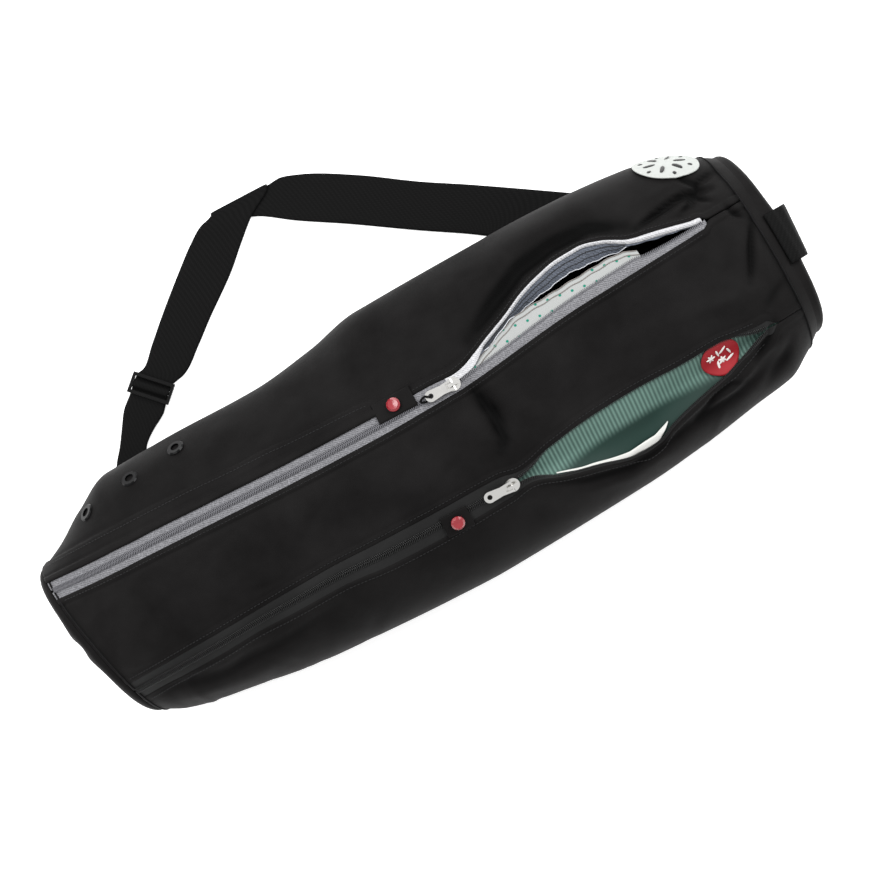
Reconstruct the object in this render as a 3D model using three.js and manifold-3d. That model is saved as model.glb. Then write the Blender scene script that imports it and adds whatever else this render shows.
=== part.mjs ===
// A soft zipped bag for a rolled yoga mat, lying on its back, in millimetres, +Z up.
// +X runs along the bag to the end with the grab handle, +Y to the side with the shoulder strap.
// The cloth is a tube of sections; every piece sewn to it is placed on that same surface.
import * as THREE from "three";
import { mergeVertices } from "three/addons/utils/BufferGeometryUtils.js";
import Module from "manifold-3d";

const wasm = await Module();
wasm.setup();

// Body of the bag
const BODY_LENGTH = 684; // from the base seam to the top seam
const BODY_WIDTH = 267;
const BODY_HEIGHT = 148;
const WIDEST_AT = 0.42; // share of the height where a section is widest
const TOP_POWER = 2.35; // how square a section is above its widest line
const BOTTOM_POWER = 3;
const FLOOR_PRESS = 5; // how far a section would sink if the floor did not flatten it
const BASE_SKEW = 0.165; // slope of the base end, which leans over
const BASE_DOME = 15;
const TOP_DOME = 14;
const CLOTH = 2;
const GAP = 0.3; // clearance between two pieces that touch
const LAY = 0.75; // lift of a flat piece laid on the rounded cloth

// Zips
const COIL_HALF = 2;
const TAPE = 1;
const OPEN_TAPE = 11; // width of a tape where the zip is open
const MOUTH_DIP = 9; // how deep the upper tape of the open zip hangs in
const SLIDER_LENGTH = 14;
const SLIDER_WIDTH = 12;
const SLIDER_HEIGHT = 3;
const BRIDGE_WIDTH = 3;
const BRIDGE_WALL = 1.2;
const PULL_LENGTH = 26;
const PULL_WIDTH = 10;
const PULL_THICK = 1.6;
const PULL_AXLE = 2; // diameter of the bar that the pull turns on
const AXLE_PLAY = 0.35;
const LOOP_LENGTH = 10;
const LOOP_THICK = 1.8;

// Small fittings
const EYELET_OUTER = 16;
const EYELET_HOLE = 8;
const EYELET_NECK = 10;
const EYELET_RIM = 1.2;
const SNAP_WIDTH = 12;
const SNAP_HEIGHT = 3;
const TAB_WIDTH = 18;
const BADGE_WIDTH = 56;
const LABEL_WIDTH = 34;

// Linings that show in the open zips
const LINING = 1.2;
const POCKET_SAG = 16;
const FLAP_SAG = 10;
const FLAP_HEM = 55.5; // the flap's free edge across the body
const FLAP_GAP = 6; // least space between the flap's hem and the upper tape

// Shoulder strap and grab handle
const WEBBING = 1.8;
const STRAP_WIDTH = 45;
const BUCKLE_SLOT = 35;
const BUCKLE_PLAY = 3; // free width of the slot beside the webbing
const BUCKLE_BAR = 3.2;
const BUCKLE_LENGTH = 20;
const HANDLE_WIDTH = 48;
const HANDLE_STAND = 7; // finger room between the handle and the end of the bag
const HANDLE_MIDDLE = -2.5;
const HANDLE_SKEW = 0.1; // how far the handle stands out more to the strap's side, per mm across

// The base seam's middle stands this far from the middle of the cloth
const BASE_X = -BODY_LENGTH / 2 - 1;

// Sections of the tube: along the body, reach to +Y and to -Y as shares of the width,
// and height as a share of the full height.
const SECTIONS = [
  { along: 0, left: 0.3, right: 0.315, height: 0.76 },
  { along: 0.035, left: 0.337, right: 0.358, height: 0.83 },
  { along: 0.08, left: 0.401, right: 0.382, height: 0.9 },
  { along: 0.135, left: 0.462, right: 0.406, height: 0.95 },
  { along: 0.21, left: 0.461, right: 0.44, height: 0.97 },
  { along: 0.34, left: 0.447, right: 0.472, height: 0.99 },
  { along: 0.42, left: 0.466, right: 0.487, height: 1 },
  { along: 0.5, left: 0.5, right: 0.497, height: 1 },
  { along: 0.71, left: 0.491, right: 0.489, height: 0.99 },
  { along: 0.81, left: 0.476, right: 0.47, height: 0.98 },
  { along: 0.885, left: 0.453, right: 0.446, height: 0.96 },
  { along: 0.94, left: 0.418, right: 0.431, height: 0.92 },
  { along: 0.975, left: 0.375, right: 0.386, height: 0.87 },
  { along: 1, left: 0.337, right: 0.345, height: 0.81 },
];

// The main zip: the cloth's two edges beside it, across the body.
const MAIN_ZIP = [
  { along: 0, upper: 0.24, lower: 0.18 },
  { along: 0.065, upper: 0.221, lower: 0.161 },
  { along: 0.174, upper: 0.2, lower: 0.14 },
  { along: 0.385, upper: 0.163, lower: 0.103 },
  { along: 0.488, upper: 0.1535, lower: 0.094 },
  { along: 0.5331, upper: 0.151, lower: 0.0934 },
  { along: 0.5623, upper: 0.1455, lower: 0.094 },
  { along: 0.5737, upper: 0.1485, lower: 0.0965 },
  { along: 0.5926, upper: 0.1628, lower: 0.0985 },
  { along: 0.6229, upper: 0.1926, lower: 0.105 },
  { along: 0.6539, upper: 0.222, lower: 0.1125 },
  { along: 0.6837, upper: 0.2557, lower: 0.1195 },
  { along: 0.7148, upper: 0.2785, lower: 0.1255 },
  { along: 0.7447, upper: 0.2924, lower: 0.129 },
  { along: 0.7739, upper: 0.2932, lower: 0.1305 },
  { along: 0.8029, upper: 0.2718, lower: 0.132 },
  { along: 0.8338, upper: 0.2292, lower: 0.134 },
  { along: 0.8627, upper: 0.2113, lower: 0.136 },
  { along: 0.8931, upper: 0.1931, lower: 0.138 },
  { along: 0.92, upper: 0.178, lower: 0.1405 },
  { along: 1, upper: 0.178, lower: 0.1405 },
];

// The side zip: the cloth's two edges beside it, across the body.
const SIDE_ZIP = [
  { along: 0, upper: -0.177, lower: -0.237 },
  { along: 0.3, upper: -0.179, lower: -0.248 },
  { along: 0.381, upper: -0.19, lower: -0.27 },
  { along: 0.465, upper: -0.2, lower: -0.28 },
  { along: 0.545, upper: -0.206, lower: -0.279 },
  { along: 0.575, upper: -0.222, lower: -0.27 },
  { along: 0.62, upper: -0.21, lower: -0.314 },
  { along: 0.668, upper: -0.206, lower: -0.341 },
  { along: 0.725, upper: -0.207, lower: -0.377 },
  { along: 0.766, upper: -0.208, lower: -0.351 },
  { along: 0.82, upper: -0.205, lower: -0.325 },
  { along: 0.86, upper: -0.199, lower: -0.305 },
  { along: 0.891, upper: -0.205, lower: -0.286 },
  { along: 0.927, upper: -0.214, lower: -0.262 },
  { along: 1, upper: -0.214, lower: -0.262 },
];

// Large folds and dents: place, heading in degrees from +X, half length, half width and height.
const FOLDS = [
  { along: 0.5, across: 0.36, heading: 62, reach: 0.16, spread: 0.045, height: -0.05 },
  { along: 0.47, across: 0.42, heading: 70, reach: 0.14, spread: 0.05, height: 0.03 },
  { along: 0.59, across: -0.03, heading: -68, reach: 0.15, spread: 0.05, height: -0.045 },
  { along: 0.53, across: -0.02, heading: -60, reach: 0.15, spread: 0.06, height: 0.025 },
  { along: 0.95, across: 0.25, heading: 20, reach: 0.12, spread: 0.04, height: -0.04 },
  { along: 0.91, across: -0.33, heading: -25, reach: 0.12, spread: 0.045, height: -0.04 },
  { along: 0.16, across: -0.3, heading: 25, reach: 0.2, spread: 0.05, height: -0.03 },
];

const MAIN_SLIDER_AT = 0.5557;
const MAIN_ZIP_END = 0.92;
const SIDE_SLIDER_AT = 0.5558;
const SIDE_ZIP_END = 0.93;
const FLAP_SPAN = [0.6, 0.87];
const POCKET_SPAN = [0.56, 0.95];
const STRIP_SPAN = [0.62, 0.76];
const LABEL_AT = [0.8575, -0.25];
const SNAPS = [
  { name: "main", along: 0.4819, across: 0.157, heading: -3, length: 36 },
  { name: "side", along: 0.4756, across: -0.2574, heading: -3, length: 25 },
];
const EYELETS = [
  { along: 0.2263, across: 0.4019 },
  { along: 0.1616, across: 0.3909 },
  { along: 0.0946, across: 0.3698 },
];
const BADGE_AT = { along: 0.94, down: 35 }; // arc from the widest line up to the badge's middle

// The strap's route over the floor, row by row: place as shares of the body's length and width, heading of
// the row from its inner to its outer edge in degrees, width as a share of the webbing, and how it lies.
const STRAP_LEG = [
  { along: 0.848, across: 0.36, heading: 0, width: 1.78, sewn: 1 },
  { along: 0.826, across: 0.401, heading: 0, width: 1.78, sewn: 1 },
  { along: 0.789, across: 0.468, heading: 0, width: 1.8 },
  { along: 0.702, across: 0.629, heading: 56, width: 1.02 },
  { along: 0.599, across: 0.816, heading: 56, width: 1.02 },
  { along: 0.534, across: 0.936, heading: 28, width: 1.13 },
];
const STRAP_CREASE = { along: 0.457, across: 1.062, heading: -5, width: 1.85 };
const STRAP_DROP = [
  { along: 0.408, across: 1.019, heading: -13, width: 1.19, high: 1 },
  { along: 0.382, across: 0.968, heading: -30, width: 1.03, high: 0.4 },
  { along: 0.355, across: 0.923, heading: -50, width: 0.96 },
  { along: 0.276, across: 0.762, heading: -54.2, width: 0.94 },
  { along: 0.2456, across: 0.7116, heading: -55.5, width: 0.83 },
];
const BUCKLE_AT = { along: 0.2079, across: 0.6552, heading: -48.8 };
const STRAP_TAIL = [
  { along: 0.183, across: 0.6, heading: -36, width: 0.81 },
  { along: 0.163, across: 0.556, heading: -31, width: 0.65 },
  { along: 0.15, across: 0.522, heading: -15, width: 0.62 },
  { along: 0.138, across: 0.489, heading: -2, width: 0.69 },
  { along: 0.126, across: 0.434, heading: 0, width: 0.76 },
  { along: 0.116, across: 0.397, heading: 0, width: 0.78, sewn: 1 },
  { along: 0.109, across: 0.365, heading: 0, width: 0.78, sewn: 1 },
];

// The strap's middle over the buckle: distance past its middle bar, and height over the floor.
const BUCKLE_WEAVE = [
  { past: -14, height: 0.9 },
  { past: -9, height: 0.9 },
  { past: -6, height: 1.6 },
  { past: -2.5, height: 5.8 },
  { past: 0, height: 6.8 },
  { past: 2.5, height: 6.4 },
  { past: 6, height: 3.2 },
  { past: 12, height: 3.2 },
];

// Materials
const finish = (color, roughness, metalness = 0) =>
  new THREE.MeshStandardMaterial({ color, roughness, metalness });
const NYLON = finish(0x242323, 0.62);
const WEB = finish(0x212121, 0.7);
const SILVER_TAPE = finish(0x97979a, 0.4, 0.2);
const BLACK_TAPE = finish(0x1c1c1c, 0.75);
const NICKEL = finish(0xd8d8d6, 0.25, 1);
const GLOSS_BLACK = finish(0x121214, 0.2);
const RED_SNAP = finish(0xb01626, 0.4);
const WHITE_CLOTH = finish(0xe8e8e8, 0.8);
const GREEN_CLOTH = finish(0x4d7062, 0.8);
const RED_CLOTH = finish(0xbe1423, 0.8);

const bag = new THREE.Group();

function addPiece(name, geometry, material, parent = bag) {
  const mesh = new THREE.Mesh(geometry, material);
  mesh.name = name;
  parent.add(mesh);
  return mesh;
}

// A smooth curve through one column of a table, which never overshoots its points.
function curve(table, column) {
  const t = table.map((row) => row.along);
  const v = table.map((row) => row[column]);
  const slopes = t.slice(1).map((_, i) => (v[i + 1] - v[i]) / (t[i + 1] - t[i]));
  const tangents = v.map((_, i) => {
    const before = slopes[Math.max(i - 1, 0)];
    const after = slopes[Math.min(i, slopes.length - 1)];
    return before * after <= 0 ? 0 : (2 * before * after) / (before + after);
  });
  return (at) => {
    const x = THREE.MathUtils.clamp(at, t[0], t[t.length - 1]);
    let i = 0;
    while (i < t.length - 2 && x > t[i + 1]) i += 1;
    const span = t[i + 1] - t[i];
    const u = (x - t[i]) / span;
    const rise = 3 * u * u - 2 * u * u * u;
    const early = u * (1 - u) * (1 - u) * span * tangents[i];
    const late = u * u * (1 - u) * span * tangents[i + 1];
    return v[i] + (v[i + 1] - v[i]) * rise + early - late;
  };
}

const leftReach = curve(SECTIONS, "left");
const rightReach = curve(SECTIONS, "right");
const heightShare = curve(SECTIONS, "height");

// One cross section: its outline as points with the length run up to each, from the +Y side over the top.
const SECTION_STEPS = 240;
const sections = new Map();
function section(along) {
  if (sections.has(along)) return sections.get(along);
  const left = BODY_WIDTH * leftReach(along);
  const right = BODY_WIDTH * rightReach(along);
  const height = BODY_HEIGHT * heightShare(along);
  const middle = WIDEST_AT * height;
  const y = [];
  const z = [];
  const run = [0];
  for (let k = 0; k <= SECTION_STEPS; k += 1) {
    const angle = (2 * Math.PI * k) / SECTION_STEPS;
    const c = Math.cos(angle);
    const s = Math.sin(angle);
    const above = k <= SECTION_STEPS / 2;
    const power = 2 / (above ? TOP_POWER : BOTTOM_POWER);
    y.push(Math.sign(c) * (c > 0 ? left : right) * Math.abs(c) ** power);
    const rise = Math.abs(s) ** power;
    z.push(above ? middle + (height - middle) * rise : Math.max(0, middle - (middle + FLOOR_PRESS) * rise));
    if (k > 0) run.push(run[k - 1] + Math.hypot(y[k] - y[k - 1], z[k] - z[k - 1]));
  }
  const made = { left, right, height, middle, y, z, run, total: run[SECTION_STEPS] };
  sections.set(along, made);
  return made;
}

// The run along a section to the point of its upper half that lies at y across.
function runAt(along, y) {
  const s = section(along);
  const reach = y > 0 ? s.left : s.right;
  const c = Math.sign(y) * Math.min(1, Math.abs(y) / reach) ** (TOP_POWER / 2);
  const k = (Math.acos(c) / (2 * Math.PI)) * SECTION_STEPS;
  const i = Math.min(Math.floor(k), SECTION_STEPS - 1);
  return s.run[i] + (s.run[i + 1] - s.run[i]) * (k - i);
}

const skewAt = (along) => BASE_SKEW * Math.max(0, 1 - along / 0.45) ** 1.5;
const xAt = (along, y) => BASE_X + BODY_LENGTH * along - skewAt(along) * y;

// Height of the large folds at a place on the upper half.
function foldHeight(along, y) {
  let sum = 0;
  for (const fold of FOLDS) {
    const dx = (along - fold.along) * BODY_LENGTH;
    const dy = y - fold.across * BODY_WIDTH;
    const turn = THREE.MathUtils.degToRad(fold.heading);
    const forward = (dx * Math.cos(turn) + dy * Math.sin(turn)) / (fold.reach * BODY_WIDTH);
    const aside = (dy * Math.cos(turn) - dx * Math.sin(turn)) / (fold.spread * BODY_WIDTH);
    sum += fold.height * BODY_HEIGHT * Math.exp(-forward * forward - aside * aside);
  }
  return sum;
}

// A point of the cloth's outer surface, lifted along the section's own normal.
function clothPoint(along, run, lift = 0) {
  const s = section(along);
  const wrapped = ((run % s.total) + s.total) % s.total;
  let i = 0;
  let far = SECTION_STEPS;
  while (far - i > 1) {
    const half = (i + far) >> 1;
    if (s.run[half] <= wrapped) i = half;
    else far = half;
  }
  const u = (wrapped - s.run[i]) / (s.run[i + 1] - s.run[i]);
  const y = s.y[i] + (s.y[i + 1] - s.y[i]) * u;
  const z = s.z[i] + (s.z[i + 1] - s.z[i]) * u;
  const before = (i + SECTION_STEPS - 2) % SECTION_STEPS;
  const after = (i + 3) % SECTION_STEPS;
  const ty = s.y[after] - s.y[before];
  const tz = s.z[after] - s.z[before];
  const size = Math.hypot(ty, tz);
  const above = THREE.MathUtils.smoothstep(z, s.middle, s.height);
  const out = lift + above * foldHeight(along, y);
  const across = y + (out * tz) / size;
  return new THREE.Vector3(xAt(along, across), across, z - (out * ty) / size);
}

// The same for a place given by its y across the upper half.
const topPoint = (along, y, lift = 0) => clothPoint(along, runAt(along, y), lift);

// Stations of the rows that every sewn piece shares, closer together at the two ends.
const ROWS = 40;
const BUNCHING = 0.05;
const STATIONS = Array.from({ length: ROWS + 1 }, (_, k) => {
  const share = k / ROWS;
  return share - BUNCHING * Math.sin(2 * Math.PI * share);
});
const stationsBetween = (from, to) => STATIONS.filter((along) => along >= from && along <= to);
const nearestRow = (along) =>
  STATIONS.reduce((best, at, k) => (Math.abs(at - along) < Math.abs(STATIONS[best] - along) ? k : best), 0);

function geometryOf(points, triangles) {
  let volume = 0;
  for (const [a, b, c] of triangles) {
    volume += points[a].dot(new THREE.Vector3().crossVectors(points[b], points[c]));
  }
  const index = triangles.flatMap(([a, b, c]) => (volume < 0 ? [a, c, b] : [a, b, c]));
  const geometry = new THREE.BufferGeometry();
  geometry.setAttribute("position", new THREE.Float32BufferAttribute(points.flatMap((p) => [p.x, p.y, p.z]), 3));
  geometry.setIndex(index);
  return geometry;
}

// A closed sheet between two grids of points with the same rows and columns.
function sheet(outer, inner) {
  const rows = outer.length;
  const columns = outer[0].length;
  const points = [...outer.flat(), ...inner.flat()];
  const at = (side, i, j) => side * rows * columns + i * columns + j;
  const triangles = [];
  const quad = (a, b, c, d) => triangles.push([a, b, c], [a, c, d]);
  for (let i = 0; i < rows - 1; i += 1) {
    for (let j = 0; j < columns - 1; j += 1) {
      quad(at(0, i, j), at(0, i, j + 1), at(0, i + 1, j + 1), at(0, i + 1, j));
      quad(at(1, i, j), at(1, i + 1, j), at(1, i + 1, j + 1), at(1, i, j + 1));
    }
    quad(at(0, i, 0), at(0, i + 1, 0), at(1, i + 1, 0), at(1, i, 0));
    quad(at(0, i, columns - 1), at(1, i, columns - 1), at(1, i + 1, columns - 1), at(0, i + 1, columns - 1));
  }
  for (let j = 0; j < columns - 1; j += 1) {
    quad(at(0, 0, j), at(1, 0, j), at(1, 0, j + 1), at(0, 0, j + 1));
    quad(at(0, rows - 1, j), at(0, rows - 1, j + 1), at(1, rows - 1, j + 1), at(1, rows - 1, j));
  }
  return geometryOf(points, triangles);
}

// A closed sheet that follows the cloth: place(along, share) gives the run, lift(along, share) the height.
function clothSheet(stations, columns, place, lift, thickness) {
  const grid = (drop) =>
    stations.map((along) =>
      Array.from({ length: columns + 1 }, (_, j) => {
        const share = j / columns;
        return clothPoint(along, place(along, share), lift(along, share) - drop);
      }),
    );
  return sheet(grid(0), grid(thickness));
}

const between = (a, b, share) => a + (b - a) * share;

// Edges of the cloth beside the two zips
const mainUpper = curve(MAIN_ZIP, "upper");
const mainLower = curve(MAIN_ZIP, "lower");
const sideUpper = curve(SIDE_ZIP, "upper");
const sideLower = curve(SIDE_ZIP, "lower");
const mainEndRow = nearestRow(MAIN_ZIP_END);
const sideEndRow = nearestRow(SIDE_ZIP_END);
const SEAM_HALF = GAP / 2;
const ZIP_TIP = 1.4; // half width of a zip's last row

// Half width that a zip keeps at a station: full along the zip, closing in one row past its end.
function zipHalf(along, endRow, full) {
  if (along <= STATIONS[endRow]) return full;
  return along <= STATIONS[endRow + 1] ? ZIP_TIP : SEAM_HALF;
}

function zipEdge(upper, lower, endRow, along, side) {
  const middle = (BODY_WIDTH * (upper + lower)) / 2;
  return middle + side * zipHalf(along, endRow, (BODY_WIDTH * (upper - lower)) / 2);
}
const mainEdge = (along, side) => zipEdge(mainUpper(along), mainLower(along), mainEndRow, along, side);
const sideEdge = (along, side) => zipEdge(sideUpper(along), sideLower(along), sideEndRow, along, side);
const mainMiddle = (along) => (mainEdge(along, 1) + mainEdge(along, -1)) / 2;
const mainGape = (along) => mainEdge(along, 1) - mainEdge(along, -1);

// How far each zip is open at a station, from 0 to 1.
const SHUT_GAPE = 17;
const OPEN_GAPE = 30;
const SIDE_OPENS = 0.06; // length over which the side zip opens past its slider, as a share of the body
const SIDE_CLOSES = 0.05;
const mainOpen = (along) => THREE.MathUtils.smoothstep(mainGape(along), SHUT_GAPE, OPEN_GAPE);
const sideOpen = (along) =>
  THREE.MathUtils.smoothstep(along, SIDE_SLIDER_AT, SIDE_SLIDER_AT + SIDE_OPENS) *
  (1 - THREE.MathUtils.smoothstep(along, SIDE_ZIP_END - SIDE_CLOSES, SIDE_ZIP_END));

// Edge of a tape on the side of its teeth, and how deep it hangs.
const NARROW_TAPE = 0.35; // width of a tape as a share of a narrow gape
const SIDE_TAPE_SHARE = 0.55; // the side zip's open tape against the main zip's
const LOWER_DIP = 2;
function mainTeeth(along, side) {
  const gape = mainGape(along);
  const width = Math.max(NARROW_TAPE * gape, gape / 2 - COIL_HALF - GAP);
  return mainEdge(along, side) - side * Math.min(OPEN_TAPE, width);
}
const mainDip = (along, side) => mainOpen(along) * (side > 0 ? MOUTH_DIP : LOWER_DIP);

function sideTeeth(along, side) {
  const middle = (sideEdge(along, 1) + sideEdge(along, -1)) / 2;
  const half = Math.min(COIL_HALF + GAP, Math.abs(sideEdge(along, side) - middle) / 2);
  return between(middle + side * half, sideEdge(along, side) - side * OPEN_TAPE * SIDE_TAPE_SHARE, sideOpen(along));
}

// The two large cloth panels
const BACK_COLUMNS = 20;
const FRONT_COLUMNS = 7;

// From the side zip round under the bag and up to the main zip, and the panel between the zips.
const backRun = (along, share) => {
  const from = runAt(along, mainEdge(along, 1)) - GAP;
  const to = runAt(along, sideEdge(along, -1)) + GAP - section(along).total;
  return between(from, to, share);
};
const frontRun = (along, share) =>
  between(runAt(along, mainEdge(along, -1)) + GAP, runAt(along, sideEdge(along, 1)) - GAP, share);

const backPanel = clothSheet(STATIONS, BACK_COLUMNS, backRun, () => 0, CLOTH);
const frontPanel = clothSheet(STATIONS, FRONT_COLUMNS, frontRun, () => 0, CLOTH);

// Cuts one closed geometry out of another.
function solidOf(geometry) {
  const bare = geometry.index ? geometry.toNonIndexed() : geometry.clone();
  bare.deleteAttribute("normal");
  bare.deleteAttribute("uv");
  const merged = mergeVertices(bare, 1e-4);
  return new wasm.Manifold(
    new wasm.Mesh({
      numProp: 3,
      vertProperties: merged.attributes.position.array,
      triVerts: new Uint32Array(merged.index.array),
    }),
  );
}

function cut(geometry, tools) {
  let solid = solidOf(geometry);
  for (const tool of tools) solid = solid.subtract(solidOf(tool));
  const mesh = solid.getMesh();
  const made = new THREE.BufferGeometry();
  made.setAttribute("position", new THREE.BufferAttribute(mesh.vertProperties, 3));
  made.setIndex(new THREE.BufferAttribute(mesh.triVerts, 1));
  return made;
}

// A frame of axes on the cloth's upper half: X along the heading, Z out of the cloth.
const FRAME_STEP = 6;
function clothFrame(along, y, heading = 0, lift = 0) {
  const step = FRAME_STEP / BODY_LENGTH;
  const run = runAt(along, y);
  const ahead = topPoint(along + step, y).sub(topPoint(along - step, y));
  const aside = clothPoint(along, run - FRAME_STEP).sub(clothPoint(along, run + FRAME_STEP));
  const up = new THREE.Vector3().crossVectors(ahead, aside).normalize();
  const forward = ahead.addScaledVector(up, -ahead.dot(up)).normalize();
  forward.applyAxisAngle(up, THREE.MathUtils.degToRad(heading));
  const across = new THREE.Vector3().crossVectors(up, forward);
  const origin = clothPoint(along, run).addScaledVector(up, lift);
  return new THREE.Matrix4().makeBasis(forward, across, up).setPosition(origin);
}

function framed(matrix) {
  const group = new THREE.Group();
  matrix.decompose(group.position, group.quaternion, group.scale);
  bag.add(group);
  return group;
}

// Eyelets: a rolled rim with a neck through the cloth
const ROUND_SIDES = 14;
const NECK_CUT = 12; // length of the round cut through the cloth for an eyelet's neck
const WASHER_LIP = 1.2;
const RIM_SLOPE = 1;
const eyeletFrames = EYELETS.map(({ along, across }) => clothFrame(along, BODY_WIDTH * across));
const neckHoles = eyeletFrames.map((frame) => {
  const hole = new THREE.CylinderGeometry(EYELET_NECK / 2 + GAP, EYELET_NECK / 2 + GAP, NECK_CUT, ROUND_SIDES);
  hole.rotateX(Math.PI / 2);
  return hole.applyMatrix4(frame);
});

function eyeletGeometry() {
  const hole = EYELET_HOLE / 2;
  const neck = EYELET_NECK / 2;
  const rim = EYELET_OUTER / 2;
  const washer = neck + WASHER_LIP;
  const under = -CLOTH - 2 * LAY;
  const profile = [
    new THREE.Vector2(hole, under - EYELET_RIM),
    new THREE.Vector2(washer, under - EYELET_RIM),
    new THREE.Vector2(washer, under),
    new THREE.Vector2(neck, under),
    new THREE.Vector2(neck, LAY),
    new THREE.Vector2(rim, LAY),
    new THREE.Vector2(rim - RIM_SLOPE, LAY + EYELET_RIM),
    new THREE.Vector2(hole, LAY + EYELET_RIM),
    new THREE.Vector2(hole, under - EYELET_RIM),
  ];
  return new THREE.LatheGeometry(profile, ROUND_SIDES).rotateX(Math.PI / 2);
}

addPiece("back_panel", cut(backPanel, neckHoles), NYLON);
addPiece("front_panel", frontPanel, NYLON);
eyeletFrames.forEach((frame, k) => addPiece(`eyelet_${k + 1}`, eyeletGeometry(), GLOSS_BLACK, framed(frame)));

// Domed ends, each closed against its seam
const CAP_SIDES = 28;
const CAP_RINGS = [1, 0.965, 0.88, 0.7, 0.4];
const BASE_CAP_POWER = 2.6;
const TOP_CAP_POWER = 3.6;

function domeShare(end, ring) {
  const power = end > 0.5 ? TOP_CAP_POWER : BASE_CAP_POWER;
  return (1 - ring ** power) ** (1 / power);
}

function capPoint(end, side, ring, inset, bulge) {
  const s = section(end);
  const rim = clothPoint(end, (s.total * side) / CAP_SIDES);
  const heartY = (s.left - s.right) / 2;
  const heartZ = s.height / 2;
  const away = Math.hypot(rim.y - heartY, rim.z - heartZ);
  const share = (ring * (away - inset)) / away;
  const y = heartY + (rim.y - heartY) * share;
  const z = heartZ + (rim.z - heartZ) * share;
  const outward = end > 0.5 ? 1 : -1;
  return new THREE.Vector3(xAt(end, y) + outward * (GAP + bulge * domeShare(end, ring)), y, z);
}

function capGeometry(end, bulge) {
  const skins = [
    { inset: 0, bulge },
    { inset: CLOTH, bulge: bulge - CLOTH },
  ];
  const points = [];
  const triangles = [];
  const ringSize = CAP_SIDES;
  const skinSize = CAP_RINGS.length * ringSize + 1;
  skins.forEach((skin, k) => {
    for (const ring of CAP_RINGS) {
      for (let side = 0; side < CAP_SIDES; side += 1) points.push(capPoint(end, side, ring, skin.inset, skin.bulge));
    }
    points.push(capPoint(end, 0, 0, skin.inset, skin.bulge));
    const at = (ring, side) => k * skinSize + ring * ringSize + (side % ringSize);
    const add = (a, b, c) => triangles.push(k ? [a, c, b] : [a, b, c]);
    for (let side = 0; side < CAP_SIDES; side += 1) {
      for (let ring = 0; ring < CAP_RINGS.length - 1; ring += 1) {
        add(at(ring, side), at(ring, side + 1), at(ring + 1, side + 1));
        add(at(ring, side), at(ring + 1, side + 1), at(ring + 1, side));
      }
      add(at(CAP_RINGS.length - 1, side), at(CAP_RINGS.length - 1, side + 1), k * skinSize + skinSize - 1);
    }
  });
  for (let side = 0; side < CAP_SIDES; side += 1) {
    const next = (side + 1) % CAP_SIDES;
    triangles.push([side, skinSize + side, skinSize + next], [side, skinSize + next, next]);
  }
  return geometryOf(points, triangles);
}

addPiece("base_cap", capGeometry(0, BASE_DOME), NYLON);
addPiece("top_cap", capGeometry(1, TOP_DOME), NYLON);

// Zip tapes and the closed teeth
const mainRows = STATIONS.slice(0, mainEndRow + 2);
const sideRows = STATIONS.slice(0, sideEndRow + 2);
for (const [name, side] of [["main_tape_upper", 1], ["main_tape_lower", -1]]) {
  const geometry = clothSheet(
    mainRows,
    2,
    (along, share) => runAt(along, between(mainEdge(along, side), mainTeeth(along, side), share)),
    (along, share) => -GAP - mainDip(along, side) * share ** 1.5,
    TAPE,
  );
  addPiece(name, geometry, SILVER_TAPE);
}
for (const [name, side] of [["side_tape_upper", 1], ["side_tape_lower", -1]]) {
  const geometry = clothSheet(
    sideRows,
    2,
    (along, share) => runAt(along, between(sideEdge(along, side), sideTeeth(along, side), share)),
    (along, share) => -GAP - sideOpen(along) * LOWER_DIP * share,
    TAPE,
  );
  addPiece(name, geometry, BLACK_TAPE);
}

const COIL_RISE = 0.8;
const COIL_END = 0.012; // the coils stop this share of the body short of their sliders
const coilSheet = (rows, middle) =>
  clothSheet(
    rows,
    1,
    (along, share) => runAt(along, middle(along) + between(COIL_HALF, -COIL_HALF, share)),
    () => COIL_RISE - GAP,
    TAPE + COIL_RISE,
  );
const sideMiddle = (along) => (sideEdge(along, 1) + sideEdge(along, -1)) / 2;
addPiece(
  "main_zip_teeth",
  coilSheet(stationsBetween(0, MAIN_SLIDER_AT - COIL_END), mainMiddle),
  SILVER_TAPE,
);
addPiece("side_zip_teeth", coilSheet(stationsBetween(0, SIDE_SLIDER_AT - COIL_END), sideMiddle), BLACK_TAPE);

// Zip sliders: a body over the teeth with a bridge, and a pull that turns on a bar under the bridge
const AXLE_HEIGHT = SLIDER_HEIGHT + AXLE_PLAY + PULL_AXLE / 2;
const BRIDGE_SPAN = PULL_AXLE + 4 * BRIDGE_WALL;
const SLIDER_LIFT = 0.2; // a slider's foot stands this far over the cloth's level, close over the tapes
const LEG_OVERLAP = 0.2;
const TAIL_SHARE = 0.6; // width of a slider's tail
const WAIST_SHARE = 0.8; // width of a pull's waist
const EYE_SHARE = 0.45; // width of a pull's eye

function boxAt(size, centre) {
  return new THREE.BoxGeometry(...size).translate(...centre);
}

function joined(pieces) {
  let solid = solidOf(pieces[0]);
  for (const piece of pieces.slice(1)) solid = solid.add(solidOf(piece));
  const mesh = solid.getMesh();
  const made = new THREE.BufferGeometry();
  made.setAttribute("position", new THREE.BufferAttribute(mesh.vertProperties, 3));
  made.setIndex(new THREE.BufferAttribute(mesh.triVerts, 1));
  return made;
}

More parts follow.
